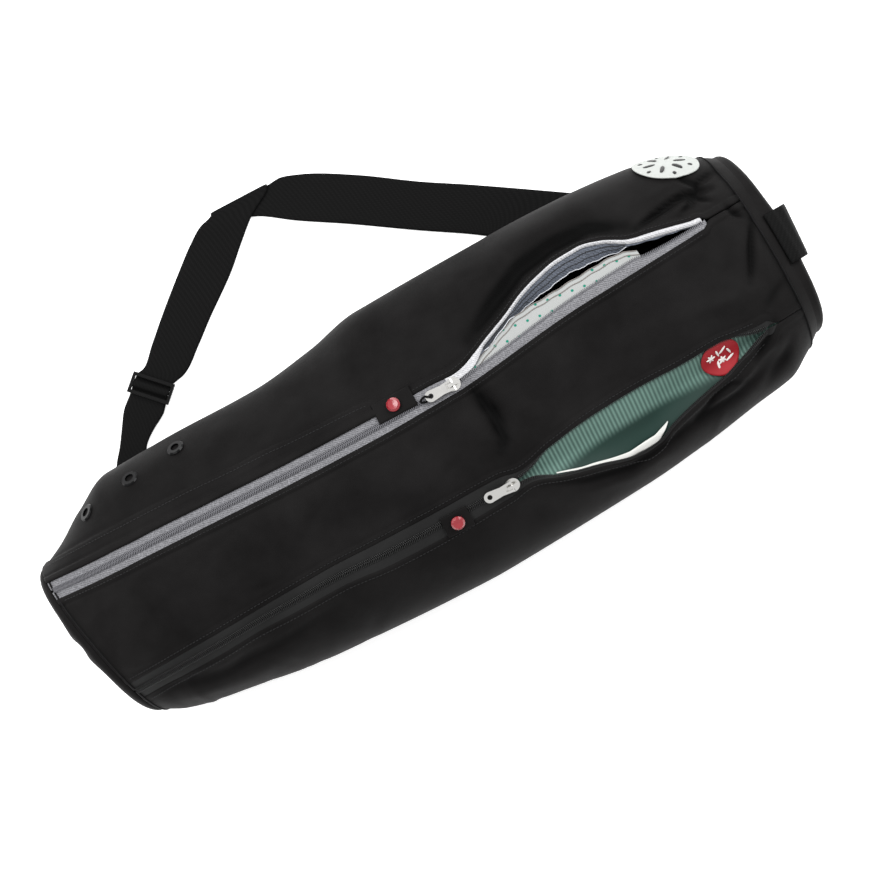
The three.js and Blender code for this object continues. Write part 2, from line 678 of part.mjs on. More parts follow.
// Plan outline of a slider: a round nose at the open side and a narrow tail at the closed side.
function sliderGeometry() {
  const half = SLIDER_WIDTH / 2;
  const outline = new THREE.Shape();
  outline.moveTo(-SLIDER_LENGTH / 2, -half * TAIL_SHARE);
  outline.lineTo(0, -half);
  outline.absarc(SLIDER_LENGTH / 2 - half, 0, half, -Math.PI / 2, Math.PI / 2);
  outline.lineTo(0, half);
  outline.lineTo(-SLIDER_LENGTH / 2, half * TAIL_SHARE);
  outline.closePath();
  const plate = new THREE.ExtrudeGeometry(outline, { depth: SLIDER_HEIGHT, bevelEnabled: false, curveSegments: 6 });
  const legHeight = PULL_AXLE + 2 * AXLE_PLAY + BRIDGE_WALL + LEG_OVERLAP;
  const legMiddle = SLIDER_HEIGHT - LEG_OVERLAP + legHeight / 2;
  const reach = BRIDGE_SPAN / 2 + BRIDGE_WALL / 2;
  const legs = [-1, 1].map((side) => boxAt([BRIDGE_WALL, BRIDGE_WIDTH, legHeight], [side * reach, 0, legMiddle]));
  const beamHeight = SLIDER_HEIGHT - LEG_OVERLAP + legHeight - BRIDGE_WALL / 2;
  const beam = boxAt([2 * reach + BRIDGE_WALL, BRIDGE_WIDTH, BRIDGE_WALL], [0, 0, beamHeight]);
  return joined([plate, ...legs, beam]);
}

// The pull in its own frame: the bar lies on the origin along Y and the plate reaches to -X.
function pullGeometry() {
  const half = PULL_WIDTH / 2;
  const holeHalf = BRIDGE_WIDTH / 2 + 1;
  const holeEnd = -(BRIDGE_SPAN / 2 + 2.5 * BRIDGE_WALL);
  const waistX = 1.6 * holeEnd;
  const eyeX = -PULL_LENGTH + half;
  const outline = new THREE.Shape();
  outline.moveTo(0, -half);
  outline.lineTo(0, -holeHalf);
  outline.lineTo(holeEnd, -holeHalf);
  outline.lineTo(holeEnd, holeHalf);
  outline.lineTo(0, holeHalf);
  outline.lineTo(0, half);
  outline.lineTo(waistX, half * WAIST_SHARE);
  outline.lineTo(eyeX, half);
  outline.absarc(eyeX, 0, half, Math.PI / 2, (3 * Math.PI) / 2);
  outline.lineTo(waistX, -half * WAIST_SHARE);
  outline.closePath();
  const eye = new THREE.Path();
  eye.absarc(eyeX, 0, half * EYE_SHARE, 0, 2 * Math.PI, true);
  outline.holes.push(eye);
  const plate = new THREE.ExtrudeGeometry(outline, { depth: PULL_THICK, bevelEnabled: false, curveSegments: 8 });
  plate.translate(0, 0, -PULL_THICK / 2);
  const bar = new THREE.CylinderGeometry(PULL_AXLE / 2, PULL_AXLE / 2, PULL_WIDTH, 10);
  return joined([plate, bar]);
}

// A short cord looped through the pull's eye, lying flat.
function loopGeometry() {
  const eyeX = -PULL_LENGTH + PULL_WIDTH / 2;
  const clear = PULL_THICK / 2 + LOOP_THICK / 2 + GAP;
  const route = new THREE.CatmullRomCurve3(
    [
      new THREE.Vector3(eyeX, 0, 0),
      new THREE.Vector3(eyeX - LOOP_THICK, 0, clear * 1.25),
      new THREE.Vector3(eyeX - LOOP_LENGTH * 0.5, LOOP_THICK * 1.2, clear),
      new THREE.Vector3(eyeX - LOOP_LENGTH, 0, 0),
      new THREE.Vector3(eyeX - LOOP_LENGTH * 0.5, -LOOP_THICK * 1.2, -clear),
      new THREE.Vector3(eyeX - LOOP_THICK, 0, -clear * 1.25),
    ],
    true,
  );
  const sides = 6;
  const ring = Array.from({ length: sides }, (_, k) => {
    const angle = (2 * Math.PI * k) / sides;
    return new THREE.Vector2((Math.cos(angle) * LOOP_THICK) / 2, (Math.sin(angle) * LOOP_THICK) / 2);
  });
  return new THREE.ExtrudeGeometry(new THREE.Shape(ring), { steps: 20, extrudePath: route, bevelEnabled: false });
}

const PULL_REST = { main: 1, side: 3 }; // degrees that a resting pull droops to the cloth

function addZipHead(name, along, y, heading) {
  const frame = clothFrame(along, y, heading, SLIDER_LIFT);
  const head = framed(frame);
  addPiece(`${name}_slider`, sliderGeometry(), NICKEL, head);
  const swing = new THREE.Group();
  swing.position.z = AXLE_HEIGHT;
  swing.rotation.y = -THREE.MathUtils.degToRad(PULL_REST[name]);
  head.add(swing);
  addPiece(`${name}_pull`, pullGeometry(), NICKEL, swing);
  return swing;
}

const headingOf = (line, along) => {
  const step = 0.01;
  const rise = line(along + step) - line(along - step);
  return THREE.MathUtils.radToDeg(Math.atan2(rise, 2 * step * BODY_LENGTH));
};
const mainSwing = addZipHead("main", MAIN_SLIDER_AT, mainMiddle(MAIN_SLIDER_AT), headingOf(mainMiddle, MAIN_SLIDER_AT));
addPiece("main_pull_loop", loopGeometry(), WEB, mainSwing);
addZipHead("side", SIDE_SLIDER_AT, sideMiddle(SIDE_SLIDER_AT), headingOf(sideMiddle, SIDE_SLIDER_AT));

// Snap tabs with their snaps: a folded end of each tuck beside the zip
for (const { name, along, across, heading, length } of SNAPS) {
  const y = BODY_WIDTH * across;
  const turn = THREE.MathUtils.degToRad(heading);
  const rows = [-0.5, -0.17, 0.17, 0.5];
  const grid = (lift) =>
    rows.map((u) =>
      [-0.5, 0, 0.5].map((v) => {
        const ahead = length * u * Math.cos(turn) - TAB_WIDTH * v * Math.sin(turn);
        const aside = length * u * Math.sin(turn) + TAB_WIDTH * v * Math.cos(turn);
        return topPoint(along + ahead / BODY_LENGTH, y + aside, lift);
      }),
    );
  const lift = LAY + GAP;
  addPiece(`${name}_snap_tab`, sheet(grid(lift + CLOTH), grid(lift)), NYLON);
  const cap = new THREE.LatheGeometry(
    [
      new THREE.Vector2(0, 0),
      new THREE.Vector2(SNAP_WIDTH / 2, 0),
      new THREE.Vector2(SNAP_WIDTH / 2, SNAP_HEIGHT * 0.45),
      new THREE.Vector2(SNAP_WIDTH * 0.36, SNAP_HEIGHT),
      new THREE.Vector2(0, SNAP_HEIGHT * 0.8),
    ],
    ROUND_SIDES,
  ).rotateX(Math.PI / 2);
  addPiece(`${name}_snap`, cap, RED_SNAP, framed(clothFrame(along, y, heading, lift + CLOTH + LAY)));
}

// A round disc laid on the cloth, from its middle outwards
function discOnCloth(centre, width, lift, thickness, place) {
  const rings = [0.36, 0.72, 1];
  const sides = 18;
  const skin = (drop) => {
    const points = [place(centre, 0, 0, lift - drop)];
    for (const ring of rings) {
      for (let side = 0; side < sides; side += 1) {
        const angle = (2 * Math.PI * side) / sides;
        const out = (ring * width) / 2;
        points.push(place(centre, out * Math.cos(angle), out * Math.sin(angle), lift - drop));
      }
    }
    return points;
  };
  const points = [...skin(0), ...skin(thickness)];
  const half = points.length / 2;
  const at = (skinIndex, ring, side) => skinIndex * half + 1 + ring * sides + (side % sides);
  const triangles = [];
  for (let side = 0; side < sides; side += 1) {
    for (const k of [0, 1]) {
      const add = (a, b, c) => triangles.push(k ? [a, c, b] : [a, b, c]);
      add(k * half, at(k, 0, side), at(k, 0, side + 1));
      for (let ring = 0; ring < rings.length - 1; ring += 1) {
        add(at(k, ring, side), at(k, ring + 1, side), at(k, ring + 1, side + 1));
        add(at(k, ring, side), at(k, ring + 1, side + 1), at(k, ring, side + 1));
      }
    }
    const last = rings.length - 1;
    triangles.push([at(0, last, side), at(1, last, side), at(1, last, side + 1)]);
    triangles.push([at(0, last, side), at(1, last, side + 1), at(0, last, side + 1)]);
  }
  return geometryOf(points, triangles);
}

const badgeGeometry = discOnCloth(BADGE_AT, BADGE_WIDTH, LAY + 1, 1, (at, ahead, up, lift) =>
  clothPoint(at.along + ahead / BODY_LENGTH, at.down + up, lift),
);
addPiece("round_badge", badgeGeometry, WHITE_CLOTH);

// Linings: the flap under the main zip's mouth, and the pocket under the side zip with its edging and label
const lens = (share) => Math.sqrt(Math.max(0, 1 - (2 * share - 1) ** 2));
const spanShare = (along, [from, to]) => (along - from) / (to - from);
const UNDER_CLOTH = CLOTH + TAPE + 1;
const FLAP_DROP = 3.2; // depth of the flap's sewn edge under the cloth's level, close under the lower tape
const FLAP_TUCK = 3; // how far the flap reaches under the tape

const flapRows = stationsBetween(...FLAP_SPAN);
const flapHem = (along) => {
  const from = mainTeeth(along, -1) - FLAP_TUCK;
  const to = Math.min(FLAP_HEM, mainTeeth(along, 1) - FLAP_GAP);
  return Math.max(from + FLAP_TUCK + 1, to);
};
const flapGeometry = clothSheet(
  flapRows,
  4,
  (along, share) => runAt(along, between(mainTeeth(along, -1) - FLAP_TUCK, flapHem(along), share)),
  (along, share) => -FLAP_DROP - FLAP_SAG * share ** 1.2 * mainOpen(along),
  LINING,
);
addPiece("mouth_flap", flapGeometry, WHITE_CLOTH);

const POCKET_TUCK = 5;
const pocketY = (along, share) =>
  between(sideEdge(along, 1) + POCKET_TUCK, sideEdge(along, -1) - POCKET_TUCK, share);
const pocketLift = (along, share) =>
  -UNDER_CLOTH - POCKET_SAG * lens(spanShare(along, POCKET_SPAN)) * Math.sin(Math.PI * share) ** 0.8;
const pocketGeometry = clothSheet(
  stationsBetween(...POCKET_SPAN),
  8,
  (along, share) => runAt(along, pocketY(along, share)),
  (along, share) => pocketLift(along, share),
  LINING,
);
addPiece("side_pocket", pocketGeometry, GREEN_CLOTH);

const STRIP_SHARES = [0.74, 0.86];
const stripGeometry = clothSheet(
  stationsBetween(...STRIP_SPAN),
  1,
  (along, share) => runAt(along, pocketY(along, between(...STRIP_SHARES, share))),
  (along, share) => pocketLift(along, between(...STRIP_SHARES, share)) + LINING + LAY,
  LINING,
);
addPiece("pocket_edging", stripGeometry, WHITE_CLOTH);

const LABEL_SQUASH = 0.8; // the label is a little less wide across than along
const labelGeometry = discOnCloth(LABEL_AT, LABEL_WIDTH, LAY, 0.8, ([along, across], ahead, aside, lift) => {
  const at = along + ahead / BODY_LENGTH;
  const y = BODY_WIDTH * across + aside * LABEL_SQUASH;
  const share = (y - pocketY(at, 0)) / (pocketY(at, 1) - pocketY(at, 0));
  return topPoint(at, y, pocketLift(at, THREE.MathUtils.clamp(share, 0.02, 0.98)) + lift + 0.8);
});
addPiece("pocket_label", labelGeometry, RED_CLOTH);

// A flat strip of webbing through rows that each give its two edges and its normal
function webbingGeometry(rows, thickness) {
  const skin = (side) =>
    rows.map(({ a, b, normal }) => [a, b].map((p) => p.clone().addScaledVector(normal, (side * thickness) / 2)));
  return sheet(skin(1), skin(-1));
}

// Height over the floor of the cloth's underside at a place near the +Y side.
function undersideAt(x, y) {
  const guess = (x - BASE_X) / BODY_LENGTH;
  const along = guess + (skewAt(guess) * y) / BODY_LENGTH;
  const s = section(along);
  const rise = (1 - Math.min(1, y / s.left) ** BOTTOM_POWER) ** (1 / BOTTOM_POWER);
  return Math.max(0, s.middle - (s.middle + FLOOR_PRESS) * rise);
}

const FLAT = WEBBING / 2;
const LAYER = WEBBING + 0.5; // rise of one layer of webbing laid on another
const UP = new THREE.Vector3(0, 0, 1);
const HUNG = GAP + 1.05; // clearance of the sewn webbing under the rounded cloth

// One row of webbing: its edges are level on the floor, or follow the cloth above where it is sewn.
function webbingRow(row, height, below = 0) {
  const turn = THREE.MathUtils.degToRad(row.heading);
  const half = (STRAP_WIDTH * row.width) / 2;
  const edge = (side) => {
    const x = BASE_X + BODY_LENGTH * row.along + side * half * Math.cos(turn);
    const y = BODY_WIDTH * row.across + side * half * Math.sin(turn);
    const seated = undersideAt(x, y) - HUNG - FLAT - below;
    return new THREE.Vector3(x, y, Math.max(FLAT, between(height, seated, row.sewn ?? 0)));
  };
  return { a: edge(1), b: edge(-1), normal: UP.clone() };
}

// The crease: the strap goes round a half circle whose axis is the crease and comes back on top.
function creaseRows() {
  const { a, b } = webbingRow(STRAP_CREASE, FLAT);
  const line = b.clone().sub(a).normalize();
  const outward = new THREE.Vector3(line.y, -line.x, 0);
  const radius = LAYER / 2;
  const steps = 6;
  return Array.from({ length: steps + 1 }, (_, k) => {
    const angle = (Math.PI * k) / steps;
    const normal = outward.clone().multiplyScalar(-Math.sin(angle)).addScaledVector(UP, Math.cos(angle));
    const place = (p) =>
      p.clone().addScaledVector(outward, radius * Math.sin(angle)).setZ(FLAT + radius - radius * Math.cos(angle));
    return { a: place(a), b: place(b), normal };
  });
}

// Rows through the buckle, along the strap's way down.
const buckleTurn = THREE.MathUtils.degToRad(BUCKLE_AT.heading);
const buckleWay = new THREE.Vector3(Math.sin(buckleTurn), -Math.cos(buckleTurn), 0);
const buckleHeart = new THREE.Vector3(
  BASE_X + BODY_LENGTH * BUCKLE_AT.along,
  BODY_WIDTH * BUCKLE_AT.across,
  0,
);
const BUCKLED_WIDTH = BUCKLE_SLOT - BUCKLE_PLAY;
const weaveRows = BUCKLE_WEAVE.map(({ past, height }) => {
  const along = new THREE.Vector3(Math.cos(buckleTurn), Math.sin(buckleTurn), 0);
  const middle = buckleHeart.clone().addScaledVector(buckleWay, past).setZ(height);
  return {
    a: middle.clone().addScaledVector(along, BUCKLED_WIDTH / 2),
    b: middle.clone().addScaledVector(along, -BUCKLED_WIDTH / 2),
    normal: UP.clone(),
  };
});

const legIn = STRAP_LEG.map((row) => webbingRow(row, FLAT));
const legDown = STRAP_DROP.map((row) => webbingRow(row, FLAT + (row.high ?? 0) * LAYER));
const tail = STRAP_TAIL.map((row) => webbingRow(row, FLAT + LAYER));
const turnedOver = (row) => ({ ...row, normal: row.normal.clone().negate() });
const strapRows = [...legIn, ...creaseRows(), ...[...legDown, ...weaveRows, ...tail].map(turnedOver)];
addPiece("shoulder_strap", webbingGeometry(strapRows, WEBBING), WEB);

// The second layer of the tail, from the buckle's middle bar back to the bag
const returnRows = [
  ...weaveRows.filter((_, k) => BUCKLE_WEAVE[k].past > 0).map((row) => ({
    a: row.a.clone().setZ(FLAT),
    b: row.b.clone().setZ(FLAT),
    normal: UP.clone(),
  })),
  ...STRAP_TAIL.map((row) => webbingRow(row, FLAT, LAYER)),
];
addPiece("strap_return", webbingGeometry(returnRows, WEBBING), WEB);

// The buckle: two rails and three bars, tilted because the strap is double past it
const BUCKLE_THICK = 3;
const BUCKLE_RAIL = 2.5;
const BUCKLE_TILT = 5.5;
const BUCKLE_HEIGHT = 5.3; // middle of the buckle over the floor
const buckleGroup = new THREE.Group();
buckleGroup.position.copy(buckleHeart).setZ(BUCKLE_HEIGHT);
buckleGroup.rotation.z = Math.atan2(buckleWay.y, buckleWay.x);
const buckleLean = new THREE.Group();
buckleLean.rotation.y = -THREE.MathUtils.degToRad(BUCKLE_TILT);
buckleGroup.add(buckleLean);
bag.add(buckleGroup);
const BAR_SINK = 0.5; // how far the bars run into the rails
const barReach = BUCKLE_SLOT / 2 + BAR_SINK;
const barAt = (x, z) => boxAt([BUCKLE_BAR, 2 * barReach, BUCKLE_THICK], [x, 0, z]);
const rails = [-1, 1].map((side) =>
  boxAt([BUCKLE_LENGTH, BUCKLE_RAIL, BUCKLE_THICK], [0, side * (BUCKLE_SLOT / 2 + BUCKLE_RAIL / 2), 0]),
);
const endBar = BUCKLE_LENGTH / 2 - BUCKLE_BAR / 2;
const middleBar = boxAt([BUCKLE_BAR, 2 * barReach, BUCKLE_THICK / 2], [0, 0, -BUCKLE_THICK / 4]);
addPiece("strap_buckle", joined([rails[0], barAt(-endBar, 0), middleBar, barAt(endBar, 0), rails[1]]), GLOSS_BLACK, buckleLean);

// The grab handle: webbing that stands off the top end and is sewn at both ends of its seam
const handleProfile = [
  { turn: 80, stand: 0 },
  { turn: 68, stand: 0 },
  { turn: 50, stand: 0.55 },
  { turn: 25, stand: 0.95 },
  { turn: 0, stand: 1 },
  { turn: -25, stand: 0.95 },
  { turn: -46, stand: 0.6 },
  { turn: -58, stand: 0.05 },
  { turn: -66, stand: 0 },
];
const HANDLE_SEAT = GAP + 0.35 + WEBBING / 2;
const handleRows = handleProfile.map(({ turn, stand }) => {
  const s = section(1);
  const angle = THREE.MathUtils.degToRad(turn);
  const power = 2 / TOP_CAP_POWER;
  const out = Math.cos(angle) ** power;
  const rise = Math.sign(turn) * Math.abs(Math.sin(angle)) ** power;
  const normal = new THREE.Vector3(
    Math.cos(angle) ** (2 - power) / TOP_DOME,
    0,
    (Math.sign(turn) * Math.abs(Math.sin(angle)) ** (2 - power)) / (s.height / 2),
  ).normalize();
  const heart = new THREE.Vector3(xAt(1, 0) + GAP + TOP_DOME * out, 0, (s.height / 2) * (1 + rise));
  heart.addScaledVector(normal, HANDLE_SEAT + HANDLE_STAND * stand);
  const half = HANDLE_WIDTH / 2;
  const edge = (side) => heart.clone().add(new THREE.Vector3(stand * HANDLE_SKEW * side * half, HANDLE_MIDDLE + side * half, 0));
  return { a: edge(1), b: edge(-1), normal };
});
addPiece("grab_handle", webbingGeometry(handleRows, WEBBING), WEB);

// The part's origin lies on the floor, under the middle of everything.
const part = new THREE.Group();
part.add(bag);
const reach = new THREE.Box3().setFromObject(bag, true);
const heart = reach.getCenter(new THREE.Vector3());
bag.position.set(-heart.x, -heart.y, -reach.min.z);

export default part;
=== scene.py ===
"""Looks of a soft zipped bag for a rolled mat, lying on its back on a pale floor.

Lengths are in millimetres in the bag's own frame until a mesh is made. +X runs along the bag to the
end with the grab handle, +Y to the side with the shoulder strap, +Z up.
"""

import logging
import math
from dataclasses import dataclass, field, replace
from enum import Enum
from typing import Any, Callable

import bpy
import numpy as np
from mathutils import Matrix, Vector


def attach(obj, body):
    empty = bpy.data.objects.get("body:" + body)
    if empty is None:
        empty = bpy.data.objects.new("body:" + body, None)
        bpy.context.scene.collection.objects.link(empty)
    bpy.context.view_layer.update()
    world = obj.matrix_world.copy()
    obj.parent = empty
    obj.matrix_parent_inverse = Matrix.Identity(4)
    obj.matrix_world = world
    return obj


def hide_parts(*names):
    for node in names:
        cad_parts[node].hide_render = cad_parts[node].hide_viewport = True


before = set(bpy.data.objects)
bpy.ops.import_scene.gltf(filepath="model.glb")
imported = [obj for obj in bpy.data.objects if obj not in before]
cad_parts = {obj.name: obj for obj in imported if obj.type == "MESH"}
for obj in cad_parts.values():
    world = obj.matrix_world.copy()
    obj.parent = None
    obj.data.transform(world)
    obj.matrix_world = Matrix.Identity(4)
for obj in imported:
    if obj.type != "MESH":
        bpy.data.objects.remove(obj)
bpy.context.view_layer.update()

LOG = logging.getLogger("bag")

# The frame's origin lies under the middle of the whole part: what is added to the bag's own frame
ORIGIN = np.array([-1.1692505, -78.4749985, 0.0])

# Body
BODY_LENGTH = 684.0
BODY_WIDTH = 267.0
BODY_HEIGHT = 148.0
WIDEST_AT = 0.42
TOP_POWER = 2.35
BOTTOM_POWER = 3.0
FLOOR_PRESS = 5.0
BASE_SKEW = 0.165
BASE_DOME = 15.0
TOP_DOME = 14.0
BASE_CAP_POWER = 2.6
TOP_CAP_POWER = 3.6
TOP_SEAM = 0.983  # place of the seam round the top end
BASE_X = -BODY_LENGTH / 2 - 1
CLOTH = 1.4
GAP = 0.3

# Zips
COIL_HALF = 2.0
SIDE_TAPE = 0.9  # how far the side zip's open tape shows past the cloth
SIDE_HEM = 0.4  # relief of the side zip's hems against the main zip's
MAIN_SLIDER_AT = 0.5557
MAIN_ZIP_END = 0.92
SIDE_SLIDER_AT = 0.5558
SIDE_ZIP_END = 0.93
SIDES = ((1, "upper"), (-1, "lower"))

# Webbing
WEBBING = 1.8
STRAP_WIDTH = 45.0
HANDLE_WIDTH = 48.0
HANDLE_STAND = 7.0
HANDLE_MIDDLE = -2.5
HANDLE_SKEW = 0.1

# Sections of the tube: along, reach to +Y, reach to -Y, height, all as shares
SECTIONS = np.array([
    (0, 0.3, 0.315, 0.76), (0.035, 0.337, 0.358, 0.83), (0.08, 0.401, 0.382, 0.9),
    (0.135, 0.462, 0.406, 0.95), (0.21, 0.461, 0.44, 0.97), (0.34, 0.447, 0.472, 0.99),
    (0.42, 0.466, 0.487, 1), (0.5, 0.5, 0.497, 1), (0.71, 0.491, 0.489, 0.99),
    (0.81, 0.476, 0.47, 0.98), (0.885, 0.453, 0.446, 0.96), (0.94, 0.418, 0.431, 0.92),
    (0.975, 0.375, 0.386, 0.87), (1, 0.337, 0.345, 0.81),
])

# Main zip: along, upper edge, lower edge of the cloth
MAIN_ZIP = np.array([
    (0, 0.24, 0.18), (0.065, 0.221, 0.161), (0.174, 0.2, 0.14), (0.385, 0.163, 0.103),
    (0.488, 0.1535, 0.094), (0.5331, 0.151, 0.0934), (0.5623, 0.1455, 0.094), (0.5737, 0.1485, 0.0965),
    (0.5926, 0.1628, 0.0985), (0.6229, 0.1926, 0.105), (0.6539, 0.222, 0.1125), (0.6837, 0.2557, 0.1195),
    (0.7148, 0.2785, 0.1255), (0.7447, 0.2924, 0.129), (0.7739, 0.2932, 0.1305), (0.8029, 0.2718, 0.132),
    (0.8338, 0.2292, 0.134), (0.8627, 0.2113, 0.136), (0.8931, 0.1931, 0.138), (0.92, 0.178, 0.1405),
    (1, 0.178, 0.1405),
])

# Side zip: along, upper edge, lower edge of the cloth
SIDE_ZIP = np.array([
    (0, -0.177, -0.237), (0.3, -0.179, -0.248), (0.381, -0.19, -0.27), (0.465, -0.2, -0.28),
    (0.545, -0.206, -0.279), (0.575, -0.222, -0.27), (0.62, -0.204, -0.312), (0.668, -0.189, -0.348),
    (0.7, -0.185, -0.378), (0.725, -0.184, -0.392), (0.745, -0.184, -0.386), (0.766, -0.186, -0.358),
    (0.82, -0.193, -0.322), (0.86, -0.193, -0.305), (0.891, -0.205, -0.286), (0.927, -0.214, -0.262),
    (1, -0.214, -0.262),
])

# Width of the lower tape past the slider: along, millimetres
LOWER_TAPE = np.array([
    (0, 5.5), (0.556, 5.5), (0.58, 7), (0.65, 7.6), (0.7, 8.2), (0.8, 9.4),
    (0.824, 9.4), (0.842, 6.8), (0.88, 5), (0.92, 4.4), (1, 4.4),
])

# Hem of the dotted flap: along, y
FLAP_HEM = np.array([
    (0.57, 36), (0.6, 44), (0.629, 50.3), (0.648, 54), (0.673, 57), (0.707, 57.5), (0.767, 58.2), (0.8, 58.4),
    (0.818, 57), (0.83, 53), (0.845, 49),
])

# Lower edge of the inner band of the upper tape: along, y
BAND_EDGE = np.array([
    (0.575, 36.4), (0.6, 40.5), (0.63, 47.5), (0.655, 54.6), (0.677, 57.8), (0.698, 61), (0.723, 63),
    (0.749, 65.5), (0.77, 64), (0.798, 62), (0.82, 58.5), (0.839, 55.6), (0.851, 53), (0.877, 49),
    (0.918, 44.5),
])

# White strip in the pocket: along, y of its lower edge, width
POCKET_STRIP = np.array([
    (0.612, -80, 0.8), (0.6415, -87.8, 1.4), (0.6598, -92.2, 2.6), (0.6914, -99.8, 3.6), (0.7079, -103, 4.4),
    (0.7273, -104.8, 6), (0.7409, -104.6, 6.2), (0.7543, -98.8, 3.4), (0.765, -92.8, 0.4),
])

# Line of the stitched tuck beside the closed main zip
MAIN_TUCK = np.array([(0, 0.305), (0.2, 0.272), (0.36, 0.236), (0.47, 0.212), (0.5, 0.2)])

# Large folds: along, across, heading in degrees, half length, half width, height
FOLDS = np.array([
    (0.5, 0.36, 62, 0.16, 0.045, -0.05), (0.47, 0.42, 70, 0.14, 0.05, 0.03),
    (0.59, -0.03, -68, 0.15, 0.05, -0.045), (0.53, -0.02, -60, 0.15, 0.06, 0.025),
    (0.95, 0.25, 20, 0.12, 0.04, -0.04), (0.91, -0.33, -25, 0.12, 0.045, -0.04),
    (0.16, -0.3, 25, 0.2, 0.05, -0.03),
])

Array = np.ndarray


class Slot(Enum):
    """The record's material slots by name; no piece made here is given one."""

    NYLON = "nylon"
    WEBBING = "webbing"
    SILVER_TAPE = "silver_tape"
    BLACK_TAPE = "black_tape"
    WHITE_CLOTH = "white_cloth"
    DOTTED_CLOTH = "dotted_cloth"
    GREEN_CLOTH = "green_cloth"
    RED_CLOTH = "red_cloth"


def smoothstep(value: Array, low: float | Array, high: float | Array) -> Array:
    """Rises from 0 at low to 1 at high, as three times the square less twice the cube of the share."""
    share = np.clip((value - low) / (high - low), 0, 1)
    return share * share * (3 - 2 * share)


def blend_between(a: Any, b: Any, share: Any) -> Any:
    """The value a given share of the way from a to b."""
    return a + (b - a) * share


def curve(table: Array, column: int) -> Callable[[Array], Array]:
    """A smooth curve through one column of a table, which never overshoots its points.

    Each span is a cubic whose end slopes are the harmonic means of the slopes on both sides.

    Args:
        table: rows whose first column is the place along.
        column: the column to follow.

    Returns:
        A function of the place along.
    """
    t = table[:, 0]
    v = table[:, column]
    slopes = np.diff(v) / np.diff(t)
    before = np.concatenate([slopes[:1], slopes])
    after = np.concatenate([slopes, slopes[-1:]])
    product = before * after
    total = np.where(before + after == 0, 1, before + after)
    tangents = np.where(product <= 0, 0, 2 * product / total)

    def at(along: Array) -> Array:
        """The curve's value at each place along."""
        x = np.clip(np.asarray(along, float), t[0], t[-1])
        i = np.clip(np.searchsorted(t, x, side="left") - 1, 0, len(t) - 2)
        span = t[i + 1] - t[i]
        u = (x - t[i]) / span
        rise = 3 * u**2 - 2 * u**3
        early = u * (1 - u) ** 2 * span * tangents[i]
        late = u**2 * (1 - u) * span * tangents[i + 1]
        return v[i] + (v[i + 1] - v[i]) * rise + early - late

    return at


def unit(vectors: Array) -> Array:
    """Each vector at length one."""
    return vectors / np.maximum(np.linalg.norm(vectors, axis=-1, keepdims=True), 1e-9)


@dataclass(frozen=True)
class Crease:
    """One fold of the cloth along a line over it."""

    line: tuple[tuple[float, float], ...]  # along, across
    height: float  # millimetres, below 0 for a groove
    spread: float  # half width in millimetres

    def lift(self, along: Array, y: Array) -> Array:
        """Height of the fold, a bell of the distance from its line, less towards the line's two ends."""
        points = np.array(self.line) * (BODY_LENGTH, BODY_WIDTH)
        x = along * BODY_LENGTH
        lengths = np.linalg.norm(np.diff(points, axis=0), axis=1)
        starts = np.concatenate([[0], np.cumsum(lengths)])
        nearest = np.full(x.shape, 1e9)
        run = np.zeros(x.shape)
        for k, (a, b) in enumerate(zip(points[:-1], points[1:])):
            way = (b - a) / max(lengths[k], 1e-6)
            reach = np.clip((x - a[0]) * way[0] + (y - a[1]) * way[1], 0, lengths[k])
            away = np.hypot(x - a[0] - reach * way[0], y - a[1] - reach * way[1])
            closer = away < nearest
            nearest = np.where(closer, away, nearest)
            run = np.where(closer, starts[k] + reach, run)
        taper = np.sin(np.pi * np.clip(run / starts[-1], 0.04, 0.96)) ** 0.6
        return self.height * taper * np.exp(-((nearest / self.spread) ** 2))


